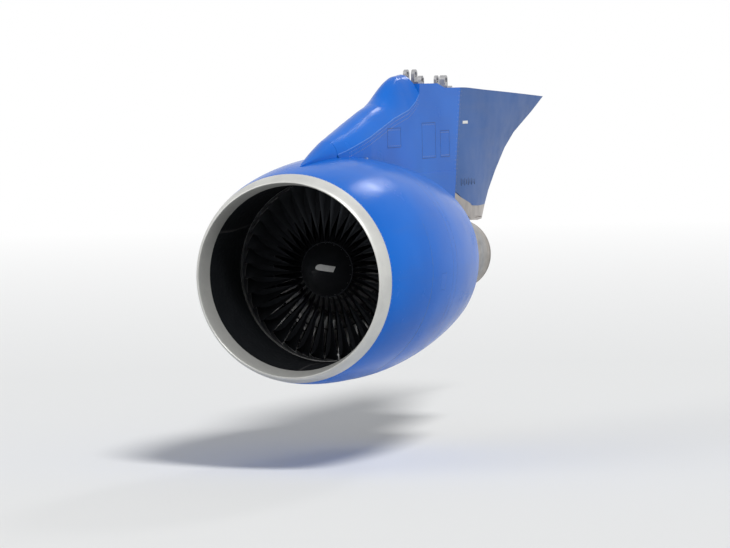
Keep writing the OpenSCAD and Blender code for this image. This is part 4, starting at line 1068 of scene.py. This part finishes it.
    def slots(self) -> None:
        """Vent slots low on the aft fairing, as black blocks that are painted shade of the openings, and ribs
        on the heat shield.
        """
        vents, ribs = bmesh.new(), bmesh.new()
        for side in (-1, 1):
            for i in range(9):
                y = self.vent_y + self.vent_pitch * i
                t = (y - 4.700) / 2.000
                x = self.tail_half + (self.upper_x - self.tail_half) * (1 - max(0.0, t) ** self.tail_power)
                foot = Matrix.Translation((side * (x - 0.014), y, self.vent_z)) @ turned(90 * side, "Y")
                self.block(vents, (0.090 - 0.030 * (i % 2), 0.014, 0.016), foot, 0.003)
        for y in steps(5.020, 5.900, 5):
            foot = Matrix.Translation((0, y, self.strut_low(y) - 0.006))
            self.block(ribs, (0.260, 0.012, 0.010), foot, 0.002)
        # The black of the vent blocks is painted shade standing for the dark openings.
        self.piece(vents, "vent_slots_painted_shade", self.finishes.rubber, Slot.PALE_BLUE)
        self.piece(ribs, "shield_ribs", self.finishes.shield, Slot.SHIELD)

    def midspar_z(self) -> float:
        """Height of the step that carries the midspar lugs."""
        return self.crown_z - 0.165

    def tail_top(self, y: float) -> float:
        """Height of the aft fairing's upper edge at a station."""
        top = self.midspar_z()
        return top + (self.crown_z - self.tail_drop - top) * (y - self.seam_y) / (self.tail_y - self.seam_y)

    def tail_low(self, y: float) -> float:
        """Height of the heat shield's lower edge at a station."""
        low = self.strut_low(y) if y < self.nacelle.nozzle_y else self.tail_low_z + 0.020 * (5.8 - y) / 0.4
        return max(self.tail_low_z, low)

    def tail_point(self, s: float, end: float, lift: float, f: float, side: int) -> Point:
        """Point of the aft fairing.

        Args:
            s: Share of its height.
            end: Station of its trailing edge there.
            lift: How far it is raised.
            f: Share of the way from its front to its trailing edge.
            side: 1 right and -1 left.

        Returns:
            The point.
        """
        top = self.midspar_z()
        seam_low = self.strut_low(self.seam_y - self.seam_lean * (top - self.low_z)) + 0.025
        front_z = seam_low + s * (top - seam_low) + lift
        front = self.seam_y + 0.0005 - self.seam_lean * (top - front_z)
        y = front + (end - front) * f
        if f == 0:
            return (side * self.upper_x, y, front_z)
        half = self.tail_half + (self.upper_x - self.tail_half) * (1 - f ** self.tail_power)
        low = self.tail_low(y)
        z = low + s * (self.tail_top(y) - low) + lift
        return (side * half, y, front_z + (z - front_z) * f / 0.15 if f < 0.15 else z)

    def tail(self) -> None:
        """Aft fairing, tapering to the trailing edge."""
        bm = bmesh.new()
        edge = [(6.375, 0.510), (6.520, 0.680), (6.800, 0.920), (7.170, 1.190), (7.540, 1.380),
                (8.280, 1.640), (self.tail_y, self.crown_z - self.tail_drop)]
        rows = [((z - self.tail_low_z) / (self.tail_top(y) - self.tail_low_z), y) for y, z in edge]
        columns, last = 101, len(rows) - 1
        for vert in bmesh.ops.create_grid(bm, x_segments=columns, y_segments=last, size=0.5)["verts"]:
            u, row = round((vert.co.x + 0.5) * columns) / columns, round((vert.co.y + 0.5) * last)
            side, f = (1, 2 * u) if u <= 0.5 else (-1, 2 - 2 * u)
            f = min(1.0, f * 1.02) if f > 0.001 else 0.0
            vert.co = self.tail_point(*rows[row], 0.0 if row else 0.0003, f, side)
        front = [v for v in bm.verts if abs(abs(v.co.x) - self.upper_x) < 1e-6 and v.is_boundary]
        left = sorted((v for v in front if v.co.x < 0), key=lambda v: v.co.z)
        right = sorted((v for v in front if v.co.x > 0), key=lambda v: v.co.z)
        for (a, b), (c, d) in zip(zip(left, left[1:]), zip(right, right[1:])):
            bm.faces.new((a, b, d, c))
        bmesh.ops.holes_fill(bm, edges=[e for e in bm.edges if e.is_boundary], sides=0)
        bmesh.ops.recalc_face_normals(bm, faces=bm.faces)
        self.piece(bm, "aft_fairing_skin", self.finishes.painted_reflection_blue, Slot.PALE_BLUE, node="strut_aft_fairing")

    def strut_low(self, y: float) -> float:
        """Height of the strut's lower face.

        Args:
            y: The station.

        Returns:
            The height.
        """
        n = self.nacelle
        if y < 2.900:
            return self.low_z
        if y < n.core_end_y:
            return min(0.620, self.low_z + 0.045 * (y - 2.900) / 0.600)
        y = min(y, n.nozzle_y)
        a = math.radians(n.nozzle_droop)
        return n.nozzle(y) * math.cos(a) - (y - n.core_end_y) * math.sin(a) + 0.020


# Inlet and fan


@dataclass
class Inlet(Maker):
    """Lip, its fasteners, and what is fastened inside the inlet."""

    lip_wall: float = 0.008
    splices: tuple[int, ...] = (60, 180, 300)
    probe_angle: float = 38
    probe_y: float = 0.700

    def build(self) -> None:
        """Builds the inlet's pieces."""
        self.lip()
        self.fasteners()
        self.lining()

    def lip(self) -> None:
        """Bare metal lip, turned from its smooth section and tilted with the inlet."""
        n, bm = self.nacelle, bmesh.new()
        shares = [(i / 24) ** 2 for i in range(25)]
        outside = [(n.outer(n.lip_y * s), n.lip_y * s) for s in reversed(shares)]
        inside = [(n.passage(n.liner_y * s), n.liner_y * s) for s in shares[1:]]
        hollow = [(n.passage(y) + self.lip_wall, y) for y in steps(n.liner_y, 0.034, 8)]
        hollow += [(n.outer(y) - self.lip_wall, y) for y in steps(0.034, n.lip_y, 8)]
        self.spun(bm, outside + inside + hollow, 200)
        bmesh.ops.transform(bm, matrix=n.drooped(), verts=bm.verts)
        bmesh.ops.recalc_face_normals(bm, faces=bm.faces)
        self.piece(bm, "lip_skin", self.finishes.aluminium, Slot.ALUMINIUM, node="inlet_lip")

    def fasteners(self) -> None:
        """Flush heads on both sides of the lip's outer and inner joints."""
        n, bm = self.nacelle, bmesh.new()
        for y, count in ((n.lip_y - 0.012, 150), (n.lip_y + 0.014, 150)):
            for i in range(count):
                self.disc(bm, self.seat(360 * i / count, n.outer(y) - 0.001, y), 0.0038, 0.0016, 8)
        bmesh.ops.transform(bm, matrix=n.drooped(), verts=bm.verts)
        self.piece(bm, "lip_fasteners", self.finishes.steel, Slot.STEEL)

    def lining(self) -> None:
        """Splices of the liner, the rub strip over the blade tips, and the air probe."""
        n, splices, strip, probe = self.nacelle, bmesh.new(), bmesh.new(), bmesh.new()
        for angle in self.splices:
            for y in steps(0.240, 1.000, 19):
                slope = math.atan((n.passage(y + 0.02) - n.passage(y - 0.02)) / 0.04)
                place = self.seat(angle, n.passage(y) - 0.0018, y) @ Matrix.Rotation(slope, 4, "X")
                self.block(splices, (0.030, 0.042, 0.0022), place, 0.0006)
        bmesh.ops.transform(splices, matrix=n.drooped(), verts=splices.verts)
        self.spun(strip, [(1.0034, 1.095), (0.9995, 1.100), (0.9995, 1.310), (1.0034, 1.315)], 180)
        foot = self.seat(self.probe_angle, n.passage(self.probe_y) + 0.002, self.probe_y)
        self.disc(probe, foot @ turned(180, "Y") @ Matrix.Diagonal((0.35, 1, 1, 1)), 0.028, 0.085, 24, 0.6)
        self.piece(splices, "liner_splices", self.finishes.rubber, Slot.LINER)
        self.piece(strip, "fan_rub_strip", self.finishes.composite, Slot.COMPOSITE)
        self.piece(probe, "air_probe", self.finishes.steel, Slot.STEEL)


@dataclass
class Fan(Maker):
    """Blades with part-span shrouds, platforms and the spinner."""

    count: int = 36
    y: float = 1.205
    root_radius: float = 0.301
    tip_radius: float = 0.997
    root_chord: float = 0.150
    tip_chord: float = 0.225
    root_stagger: float = 12.0
    tip_stagger: float = 62.0
    shroud_radius: float = 0.660
    shroud_width: float = 0.056
    shroud_thickness: float = 0.015
    spinner_y: float = 0.690
    spinner_end: float = 1.1207
    spinner_radius: float = 0.300
    spinner_power: float = 0.82
    spinner_wall: float = 0.009
    platform_foot: float = 0.2992
    platform_height: float = 0.0060
    mark_start: tuple[float, float] = (0.022, 0.056)
    mark_run: tuple[float, float] = (0.152, -0.042)
    mark_side: tuple[float, float] = (0.27, 0.96)
    mark_half: float = 0.031

    def build(self) -> None:
        """Builds the fan's pieces."""
        self.blades()
        self.platforms()
        self.spinner()

    def blade_point(self, t: float, f: float, side: float) -> Point:
        """Point of a blade.

        Args:
            t: Share of its span.
            f: Share of its chord.
            side: 1 on the back of its camber line and -1 on its face.

        Returns:
            The point.
        """
        r = self.root_radius + t * (self.tip_radius - self.root_radius)
        chord = self.root_chord + t * (self.tip_chord - self.root_chord)
        stagger = math.radians(self.root_stagger + (self.tip_stagger - self.root_stagger) * t ** 0.8)
        half = chord * (0.045 - 0.03 * t) * 4 * f * (1 - f) * (1.35 - 0.7 * f) + 0.0008
        a, b = (f - 0.5) * chord, chord * (0.13 - 0.11 * t) * 4 * f * (1 - f) + side * half
        q = (a * math.sin(stagger) + b * math.cos(stagger)) / r
        return (r * math.sin(q), self.y + a * math.cos(stagger) - b * math.sin(stagger), r * math.cos(q))

    def blades(self) -> None:
        """One blade and its shroud, copied round the disk."""
        one = bmesh.new()

        def place(u: float, v: float) -> Point:
            """Point round the blade, at a share of its span."""
            f, side = (2 * u, 1) if u <= 0.5 else (2 - 2 * u, -1)
            return self.blade_point(v, min(1.0, max(0.0, (1 - math.cos(math.pi * f)) / 2)), side)

        self.sheet(one, 24, 16, place, wrap=True)
        reach = self.shroud_radius * math.sin(math.pi / self.count) - 0.0008
        flat = Matrix.Diagonal((self.shroud_thickness / self.shroud_width, 1, 1, 1))
        end = Matrix.Translation((-reach, self.y, self.shroud_radius))
        self.disc(one, end @ turned(90, "Y") @ flat, self.shroud_width / 2, 2 * reach, 20)
        self.copied(one, "blade_set", self.finishes.painted_shade_blades, Slot.TITANIUM, "fan_blades")

    def copied(self, one: bmesh.types.BMesh, name: str, material: bpy.types.Material, slot: Slot,
               node: str | None = None) -> None:
        """Copies a mesh round the fan and makes it a piece.

        Args:
            one: The mesh, which is freed.
            name: The piece's name.
            material: Its finish.
            slot: The record's slot.
            node: The node that it stands for.
        """
        first = list(one.verts) + list(one.edges) + list(one.faces)
        for i in range(1, self.count):
            made = bmesh.ops.duplicate(one, geom=first)
            verts = [g for g in made["geom"] if isinstance(g, bmesh.types.BMVert)]
            bmesh.ops.rotate(one, verts=verts, cent=(0, 0, 0),
                             matrix=Matrix.Rotation(2 * math.pi * i / self.count, 3, "Y"))
        self.piece(one, name, material, slot, Body.FAN_SPOOL, 40, node)

    def platforms(self) -> None:
        """Annulus fillers between the blade roots."""
        one = bmesh.new()
        half = 0.3035 * math.sin(math.pi / self.count) - 0.0012
        foot = self.seat(180 / self.count, self.platform_foot, self.y)
        self.block(one, (2 * half, 0.160, self.platform_height), foot, 0.0015)
        self.copied(one, "blade_platforms", self.finishes.painted_shade_blades, Slot.TITANIUM)

    def cone(self, s: float) -> tuple[float, float]:
        """Radius and station of the spinner at a share of its length."""
        y = self.spinner_y + (self.spinner_end - self.spinner_y) * s
        return self.spinner_radius * s ** self.spinner_power, y

    def spinner(self) -> None:
        """Spinner, its screws and its plain white mark."""
        bm, screws, mark = bmesh.new(), bmesh.new(), bmesh.new()
        shares = [(i / 32) ** 2 for i in range(33)]
        outer = [self.cone(s) for s in shares]
        inner = [(r - self.spinner_wall, y + (0.008 if s < 1 else 0))
                 for s, (r, y) in zip(shares, outer) if r > self.spinner_wall + 0.003]
        profile = outer + inner[::-1] + [(0.0, self.spinner_y + 0.022)]
        self.spun(bm, profile, 120, closed=False)
        bmesh.ops.remove_doubles(bm, verts=bm.verts, dist=1e-6)
        bmesh.ops.recalc_face_normals(bm, faces=bm.faces)
        self.piece(bm, "spinner_skin", self.finishes.spinner, Slot.SPINNER, Body.FAN_SPOOL, node="spinner")
        r, y = self.cone(0.955)
        tilt = Matrix.Rotation(math.atan2(self.spinner_radius, self.spinner_end - self.spinner_y), 4, "X")
        for i in range(18):
            self.disc(screws, self.seat(20 * i, r - 0.001, y) @ tilt, 0.006, 0.0025, 12)

        def place(u: float, v: float) -> Point:
            """Point over and under the mark, at a share of its length."""
            inset, lift = (4 * u - 1, 0.0014) if u <= 0.5 else (3 - 4 * u, -0.0012)
            across = self.mark_half * inset * (math.sqrt(max(0.0, 1 - (1 - 4 * v) ** 2)) if v < 0.25 else 1.0)
            x, z = (a + b * v + c * across for a, b, c in zip(self.mark_start, self.mark_run, self.mark_side))
            radius = math.hypot(x, z)
            y = self.cone((radius / self.spinner_radius) ** (1 / self.spinner_power))[1]
            return (x * (1 + lift / radius), y - lift, z * (1 + lift / radius))

        self.sheet(mark, 16, 40, place, wrap=True)
        self.piece(screws, "spinner_screws", self.finishes.steel, Slot.STEEL, Body.FAN_SPOOL)
        self.piece(mark, "spinner_mark", self.finishes.white, Slot.SPINNER, Body.FAN_SPOOL)


# Engine


@dataclass
class Casings(Maker):
    """What is fastened to the fan case and the core: bolts, pipes, ducts, cables and boxes."""

    shell: float = 1.021
    turbine_y: tuple[float, float] = (3.100, 3.900)
    turbine_radius: tuple[float, float] = (0.440, 0.545)
    compressor_y: tuple[float, float] = (1.867, 2.650)
    compressor_radius: tuple[float, float] = (0.420, 0.345)
    vane_rows: Point = (2.105, 2.255, 2.405)
    vanes: int = 40
    unit_angle: float = 289
    unit_y: float = 1.485
    cooler_angle: float = 236

    def build(self) -> None:
        """Builds the fittings."""
        self.flange_bolts()
        self.fan_case_pipes()
        self.fan_case_boxes()
        self.core_pipes()
        self.vane_gear()
        self.nozzle_trim()

    def flange_bolts(self) -> None:
        """Rings of bolts on the flanges."""
        bm = bmesh.new()
        self.bolts(bm, 1.032, 1.748, 90, aft=False)
        self.bolts(bm, 0.356, 2.638, 48, aft=False)
        self.bolts(bm, 0.451, 3.086, 56, aft=False)
        self.bolts(bm, 0.451, 3.112, 56)
        self.bolts(bm, 0.556, 3.888, 64, aft=False)
        self.bolts(bm, 0.556, 3.914, 64)
        self.piece(bm, "flange_bolts", self.finishes.steel, Slot.STEEL)

    def fan_case_pipes(self) -> None:
        """Pipes, the starter's air duct and cables round the fan case, with their clamps."""
        pipes, air, cables, clamps = bmesh.new(), bmesh.new(), bmesh.new(), bmesh.new()
        for y, r, first, last in ((1.555, 0.010, 112, 158), (1.585, 0.010, 114, 160),
                                  (1.375, 0.012, 150, 116)):
            self.tube(pipes, [(a, 1.046, y) for a in steps(first, last, 8)], r)
        for k, y in enumerate((1.672, 1.700)):
            run = [(a, 1.038, y) for a in steps(206, 345, 22)]
            self.tube(pipes, [(200 + 4 * k, 1.075, 1.500), (203, 1.050, 1.600), *run, (349, 1.060, y),
                              (350, 1.110, y)], 0.009)
            for a in steps(220, 335, 9):
                self.block(clamps, (0.020, 0.028, 0.032), self.seat(a, self.shell - 0.001, y), 0.003)
        run = [(a, 1.075, 1.698) for a in steps(158, 16, 20)]
        self.tube(air, [(176, 1.085, 1.640), (175, 1.085, 1.690), (168, 1.078, 1.698), *run,
                        (12, 1.078, 1.698), (9, 1.120, 1.698)], 0.036, 20)
        for a in (150, 128, 70, 45, 25):
            place = self.seat(a, 1.075, 1.698) @ turned(90, "Y")
            self.disc(clamps, place @ Matrix.Translation((0, 0, -0.010)), 0.040, 0.020, 24)
        for y, first, last in ((1.345, 275, 210), (1.600, 275, 232), (1.400, 302, 346), (1.450, 302, 346)):
            self.tube(cables, [(a, 1.036, y) for a in steps(first, last, 10)], 0.008)
            for a in steps(first - 8 if first > last else first + 8, last, 4):
                self.block(clamps, (0.014, 0.022, 0.026), self.seat(a, self.shell - 0.001, y), 0.002)
        self.piece(pipes, "fan_case_pipes", self.finishes.steel, Slot.STEEL)
        self.piece(air, "starter_air_duct", self.finishes.case_metal, Slot.ALUMINIUM)
        self.piece(cables, "fan_case_cables", self.finishes.rubber, Slot.COMPOSITE)
        self.piece(clamps, "pipe_clamps", self.finishes.steel, Slot.STEEL)

    def fan_case_boxes(self) -> None:
        """Control unit, exciters, oil cooler, and the trim of the gearbox and oil tank."""
        boxes, metal, bands = bmesh.new(), bmesh.new(), bmesh.new()
        self.block(boxes, (0.320, 0.270, 0.075), self.seat(self.unit_angle, 1.060, self.unit_y), 0.006)
        for a in steps(self.unit_angle - 6.4, self.unit_angle + 6.4, 8):
            self.block(boxes, (0.006, 0.230, 0.014), self.seat(a, 1.134, self.unit_y), 0.001)
        for a in (282, 296):
            for y in (1.370, 1.600):
                self.disc(metal, self.seat(a, self.shell - 0.001, y), 0.014, 0.045, 16)
        for a in (277, 285, 293):
            self.disc(metal, self.seat(a, 1.095, 1.350) @ turned(90, "X"), 0.018, 0.030, 20)
        for a in (48, 60):
            self.block(boxes, (0.150, 0.110, 0.060), self.seat(a, 1.028, 1.420), 0.005)
            self.block(metal, (0.170, 0.030, 0.009), self.seat(a, self.shell - 0.001, 1.420), 0.001)
        cooler = self.seat(self.cooler_angle, 1.092, 1.340) @ turned(-90, "X")
        self.disc(metal, cooler, 0.046, 0.300, 32)
        for y in (0.020, 0.140, 0.270):
            self.disc(bands, cooler @ Matrix.Translation((0, 0, y)), 0.050, 0.014, 32)
        for a in steps(160, 202, 7):
            for y in (1.412, 1.518):
                self.disc(bands, self.seat(a, 1.130, y), 0.008, 0.007, 6)
        for y in (1.430, 1.560):
            for a in steps(80, 118, 24):
                self.block(bands, (0.034, 0.022, 0.003), self.seat(a, 1.1005, y), 0.0006)
        self.disc(bands, self.seat(100, 1.120, 1.470), 0.030, 0.010, 32, 0.9)
        self.piece(boxes, "control_boxes", self.finishes.grey, Slot.ALUMINIUM)
        self.piece(metal, "case_fittings", self.finishes.case_metal, Slot.ALUMINIUM)
        self.piece(bands, "bands_and_bolts", self.finishes.steel, Slot.STEEL)

    def case(self, y: float) -> float:
        """Radius of the turbine case at a station."""
        return along(list(zip(self.turbine_y, self.turbine_radius)), y)

    def core_pipes(self) -> None:
        """Cooling rings round the turbine case, and pipes, leads and the bleed duct of the core."""
        rings, pipes, bleed = bmesh.new(), bmesh.new(), bmesh.new()
        for y in (3.220, 3.340, 3.460, 3.580, 3.700):
            r = self.case(y) + 0.020
            round_it = [math.tau * i / 12 for i in range(12)]
            self.spun(rings, [(r + 0.010 * math.sin(a), y + 0.010 * math.cos(a)) for a in round_it], 120)
        for a in (75, 285):
            over = [(a, self.case(y) + 0.042, y) for y in (3.220, 3.460, 3.710)]
            self.tube(rings, [(a, 0.500, 2.980), (a, 0.510, 3.120), *over], 0.016)
        self.tube(pipes, [(165, 0.500, 1.900), (165, 0.500, 2.100), (165, 0.462, 2.300), (166, 0.462, 2.600),
                          (168, 0.482, 2.846)], 0.009)
        for a in (120, 240):
            self.tube(pipes, [(a, 0.498, 1.900), (a, 0.498, 2.080), (a, 0.458, 2.300), (a, 0.452, 2.600),
                              (a, 0.500, 2.740), (a, 0.498, 2.770)], 0.006)
            self.disc(pipes, self.seat(a, 0.425, 2.775), 0.014, 0.082, 16, 0.7)
        self.tube(pipes, [(188, 0.575, 3.870), (188, 0.560, 3.500), (188, 0.520, 2.800), (188, 0.505, 2.200),
                          (188, 0.505, 1.900)], 0.008)
        self.tube(bleed, [(68, 0.360, 2.405), (68, 0.440, 2.405), (60, 0.490, 2.400), (45, 0.495, 2.400),
                          (30, 0.492, 2.400), (16, 0.498, 2.400), (9, 0.530, 2.400), (8, 0.590, 2.400)],
                  0.034, 20)
        self.piece(rings, "turbine_cooling_rings", self.finishes.steel, Slot.STEEL)
        self.piece(pipes, "core_pipes", self.finishes.steel, Slot.STEEL)
        self.piece(bleed, "bleed_duct", self.finishes.hot, Slot.HOT)

    def vane_gear(self) -> None:
        """Bosses and levers of the variable vanes beside the rings of the compressor case."""
        bm = bmesh.new()
        for y in self.vane_rows:
            r = along(list(zip(self.compressor_y, self.compressor_radius)), y)
            for i in range(self.vanes):
                a = 360 * i / self.vanes
                self.disc(bm, self.seat(a, r - 0.003, y), 0.007, 0.020, 10)
                self.block(bm, (0.008, 0.062, 0.004), self.seat(a, r + 0.015, y + 0.025), 0.001)
        self.piece(bm, "vane_levers", self.finishes.steel, Slot.STEEL)

    def nozzle_trim(self) -> None:
        """Fasteners round the core nozzle's joint and a doubler band at its end."""
        n, bm, band = self.nacelle, bmesh.new(), bmesh.new()
        for i in range(72):
            self.disc(bm, self.seat(5 * i, n.nozzle(4.190) - 0.001, 4.190), 0.006, 0.003, 10)
        ys = steps(n.nozzle_y - 0.060, n.nozzle_y - 0.001, 6)
        profile = [(n.nozzle(y) + 0.0018, y) for y in ys] + [(n.nozzle(y) - 0.002, y) for y in reversed(ys)]
        self.spun(band, profile, 160)
        for made in (bm, band):
            bmesh.ops.transform(made, matrix=n.nozzle_tilt(), verts=made.verts)
            bmesh.ops.recalc_face_normals(made, faces=made.faces)
        self.piece(bm, "nozzle_fasteners", self.finishes.steel, Slot.STEEL)
        self.piece(band, "nozzle_edge_band", self.finishes.nozzle, Slot.HOT)


@dataclass
class Reverser(Maker):
    """Actuators of the sleeves, and seals along the cowls."""

    radius: float = 1.1485
    angles: tuple[int, int] = (50, 128)
    front_y: float = 1.863
    cylinder: tuple[float, float] = (0.0095, 0.388)
    rod: tuple[float, float] = (0.0050, 0.470)
    seal_x: float = 0.012
    seal_size: Point = (0.014, 0.024, 0.010)

    def build(self) -> None:
        """Builds both sides."""
        self.actuators(-1, Body.DUCT_LEFT, Body.SLEEVE_LEFT)
        self.actuators(1, Body.DUCT_RIGHT, Body.SLEEVE_RIGHT)
        self.seal(-1, Body.COWL_LEFT)
        self.seal(1, Body.COWL_RIGHT)

    def actuators(self, side: int, duct: Body, sleeve: Body) -> None:
        """Cylinders on the fixed half and rods on the sleeve.

        Args:
            side: 1 right and -1 left.
            duct: The half's body.
            sleeve: The sleeve's body.
        """
        cylinders, rods = bmesh.new(), bmesh.new()
        aft = turned(-90, "X")
        for a in (side * angle for angle in self.angles):
            self.disc(cylinders, self.seat(a, self.radius, self.front_y) @ aft, *self.cylinder, 20)
            self.block(cylinders, (0.030, 0.024, 0.012), self.seat(a, 1.136, 1.960), 0.002)
            self.disc(rods, self.seat(a, self.radius, self.front_y + 0.005) @ aft, *self.rod, 16)
            self.block(rods, (0.034, 0.030, 0.026), self.seat(a, 1.1405, 2.330), 0.002)
        self.piece(cylinders, f"actuators_{hand(side)}", self.finishes.case_metal, Slot.ALUMINIUM, duct)
        self.piece(rods, f"actuator_rods_{hand(side)}", self.finishes.steel, Slot.STEEL, sleeve)

    def seal(self, side: int, cowl: Body) -> None:
        """Fire seal along a cowl's lower edge, inside the skin.

        Args:
            side: 1 right and -1 left.
            cowl: The cowl's body.
        """
        bm = bmesh.new()
        for y in steps(1.200, 1.800, 24):
            low = math.sqrt((self.nacelle.outer(y) - 0.014) ** 2 - self.seal_x ** 2)
            self.block(bm, self.seal_size, Matrix.Translation((side * self.seal_x, y, -low - 0.001)), 0.003)
        self.piece(bm, f"cowl_seal_{hand(side)}", self.finishes.rubber, Slot.PRIMER, cowl)


# Stage


def seen_ray(tree: bpy.types.NodeTree) -> bpy.types.NodeSocket:
    """Tells rays from the camera, or by way of gloss or glass, as 1, from those that light, as 0.

    Args:
        tree: The nodes that it is added to.

    Returns:
        The value.
    """
    path = tree.nodes.new("ShaderNodeLightPath")
    seen = path.outputs["Is Camera Ray"]
    for ray in ("Is Glossy Ray", "Is Transmission Ray"):
        either = tree.nodes.new("ShaderNodeMath")
        either.operation = "MAXIMUM"
        tree.links.new(seen, either.inputs[0])
        tree.links.new(path.outputs[ray], either.inputs[1])
        seen = either.outputs[0]
    return seen


@dataclass(frozen=True)
class Lamp:
    """A soft sun: its strength, its width as an angle, and its turn in degrees."""

    name: str
    strength: float
    angle: float
    turn: Point


@dataclass
class Studio:
    """Camera at the photograph's angle, pale floor and soft light."""

    location: Point = (14.0264, -37.3302, -0.0897)
    yaw: float = 0.3739
    pitch: float = 0.0561
    roll: float = 0.0207
    focal: float = 3400.0
    sensor: float = 36.0
    reach: float = 1000.0
    floor_z: float = -4.30
    floor_radius: float = 220.0
    fade: tuple[float, float] = (12, 60)
    world: Point = (0.92, 0.95, 1.0)
    world_strength: float = 0.34
    lamps: tuple[Lamp, ...] = (Lamp("key", 2.4, 14.0, (42, 8, 38)), Lamp("fill", 0.4, 40.0, (62, 0, -50)),
                               Lamp("rim", 0.25, 8.0, (-56, 0, -7)))

    def camera(self) -> None:
        """Places the camera."""
        data = bpy.data.cameras.new("view")
        data.sensor_width = self.sensor
        data.lens = self.focal / IMAGE_WIDTH * data.sensor_width
        data.clip_end = self.reach
        camera = bpy.data.objects.new("view", data)
        bpy.context.scene.collection.objects.link(camera)
        level = math.cos(self.pitch)
        forward = Vector((-math.sin(self.yaw) * level, math.cos(self.yaw) * level, -math.sin(self.pitch)))
        right = Vector((math.cos(self.yaw), math.sin(self.yaw), 0.0))
        up = right.cross(forward)
        across = right * math.cos(self.roll) - up * math.sin(self.roll)
        upward = right * math.sin(self.roll) + up * math.cos(self.roll)
        turn = Matrix((across, upward, -forward)).transposed()
        camera.matrix_world = Matrix.Translation(Vector(self.location)) @ turn.to_4x4()
        bpy.context.scene.camera = camera

    def floor(self) -> None:
        """Lays a pale floor that fades to white far off."""
        bm = bmesh.new()
        bmesh.ops.create_circle(bm, cap_ends=True, segments=96, radius=self.floor_radius)
        bmesh.ops.translate(bm, verts=bm.verts, vec=(0, 0, self.floor_z))
        mesh = bpy.data.meshes.new("floor")
        bm.to_mesh(mesh)
        bm.free()
        floor = bpy.data.objects.new("floor", mesh)
        bpy.context.scene.collection.objects.link(floor)
        s = NodeSheet("pale_floor")
        s.set(Base_Color=(0.80, 0.80, 0.79), Roughness=0.9, Specular_IOR_Level=0.1)
        white = s.new("Emission")
        far = s.new("VectorMath", operation="LENGTH")
        s.join(s.object, far.inputs[0])
        mix = s.new("MixShader")
        faded = s.span(far.outputs["Value"], *self.fade, 0, 1)
        s.join(s.math("MULTIPLY", faded, seen_ray(s.tree)), mix.inputs[0])
        s.join(s.shader.outputs[0], mix.inputs[1])
        s.join(white.outputs[0], mix.inputs[2])
        s.join(mix.outputs[0], s.tree.nodes["Material Output"].inputs["Surface"])
        mesh.materials.append(s.material)

    def light(self) -> None:
        """Sets the lamps, and a world that is white to the camera."""
        scene = bpy.context.scene
        for lamp in self.lamps:
            data = bpy.data.lights.new(lamp.name, "SUN")
            data.energy = lamp.strength
            data.angle = math.radians(lamp.angle)
            sun = bpy.data.objects.new(lamp.name, data)
            sun.rotation_euler = [math.radians(t) for t in lamp.turn]
            scene.collection.objects.link(sun)
        world = bpy.data.worlds.new("white_studio")
        world.use_nodes = True
        tree = world.node_tree
        plain = tree.nodes["Background"]
        plain.inputs["Color"].default_value = (*self.world, 1)
        plain.inputs["Strength"].default_value = self.world_strength
        white = tree.nodes.new("ShaderNodeBackground")
        white.inputs["Color"].default_value = (1, 1, 1, 1)
        mix = tree.nodes.new("ShaderNodeMixShader")
        tree.links.new(seen_ray(tree), mix.inputs[0])
        tree.links.new(plain.outputs[0], mix.inputs[1])
        tree.links.new(white.outputs[0], mix.inputs[2])
        tree.links.new(mix.outputs[0], tree.nodes["World Output"].inputs["Surface"])
        scene.world = world


def dress_nodes(frame: dict, finishes: Finishes) -> None:
    """Gives every carried-over node the finish of its slot.

    Args:
        frame: The loaded frame.
        finishes: The materials.
    """
    own = {"exhaust_nozzle": finishes.nozzle, "exhaust_plug": finishes.nozzle}
    own |= dict.fromkeys(("fan_cowl_left", "fan_cowl_right", "inlet_outer_barrel"), finishes.cowl)
    own |= dict.fromkeys(("duct_left", "duct_right", "sleeve_left", "sleeve_right"), finishes.duct)
    by_slot = finishes.of_slot()
    slots = {part["node"]: Slot(part["material_slot"]) for part in frame["record"]["subparts"]}
    for name, obj in frame["nodes"].items():
        material = own.get(name, by_slot[slots[name]])
        if not obj.material_slots:
            obj.data.materials.append(material)
        for place in obj.material_slots:
            place.material = material
        LOG.info("%s: %s", name, material.name)


def main() -> None:
    """Builds the whole scene."""
    logging.basicConfig(level=logging.INFO, format="%(name)s: %(message)s")
    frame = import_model()
    bpy.context.scene.view_settings.view_transform = "Standard"
    finishes, nacelle = Finishes(), Nacelle()
    dress_nodes(frame, finishes)
    for part in (Strut, Inlet, Fan, Casings, Reverser):
        part(finishes, nacelle).build()
    studio = Studio()
    studio.camera()
    studio.floor()
    studio.light()


if __name__ == "__main__":
    main()
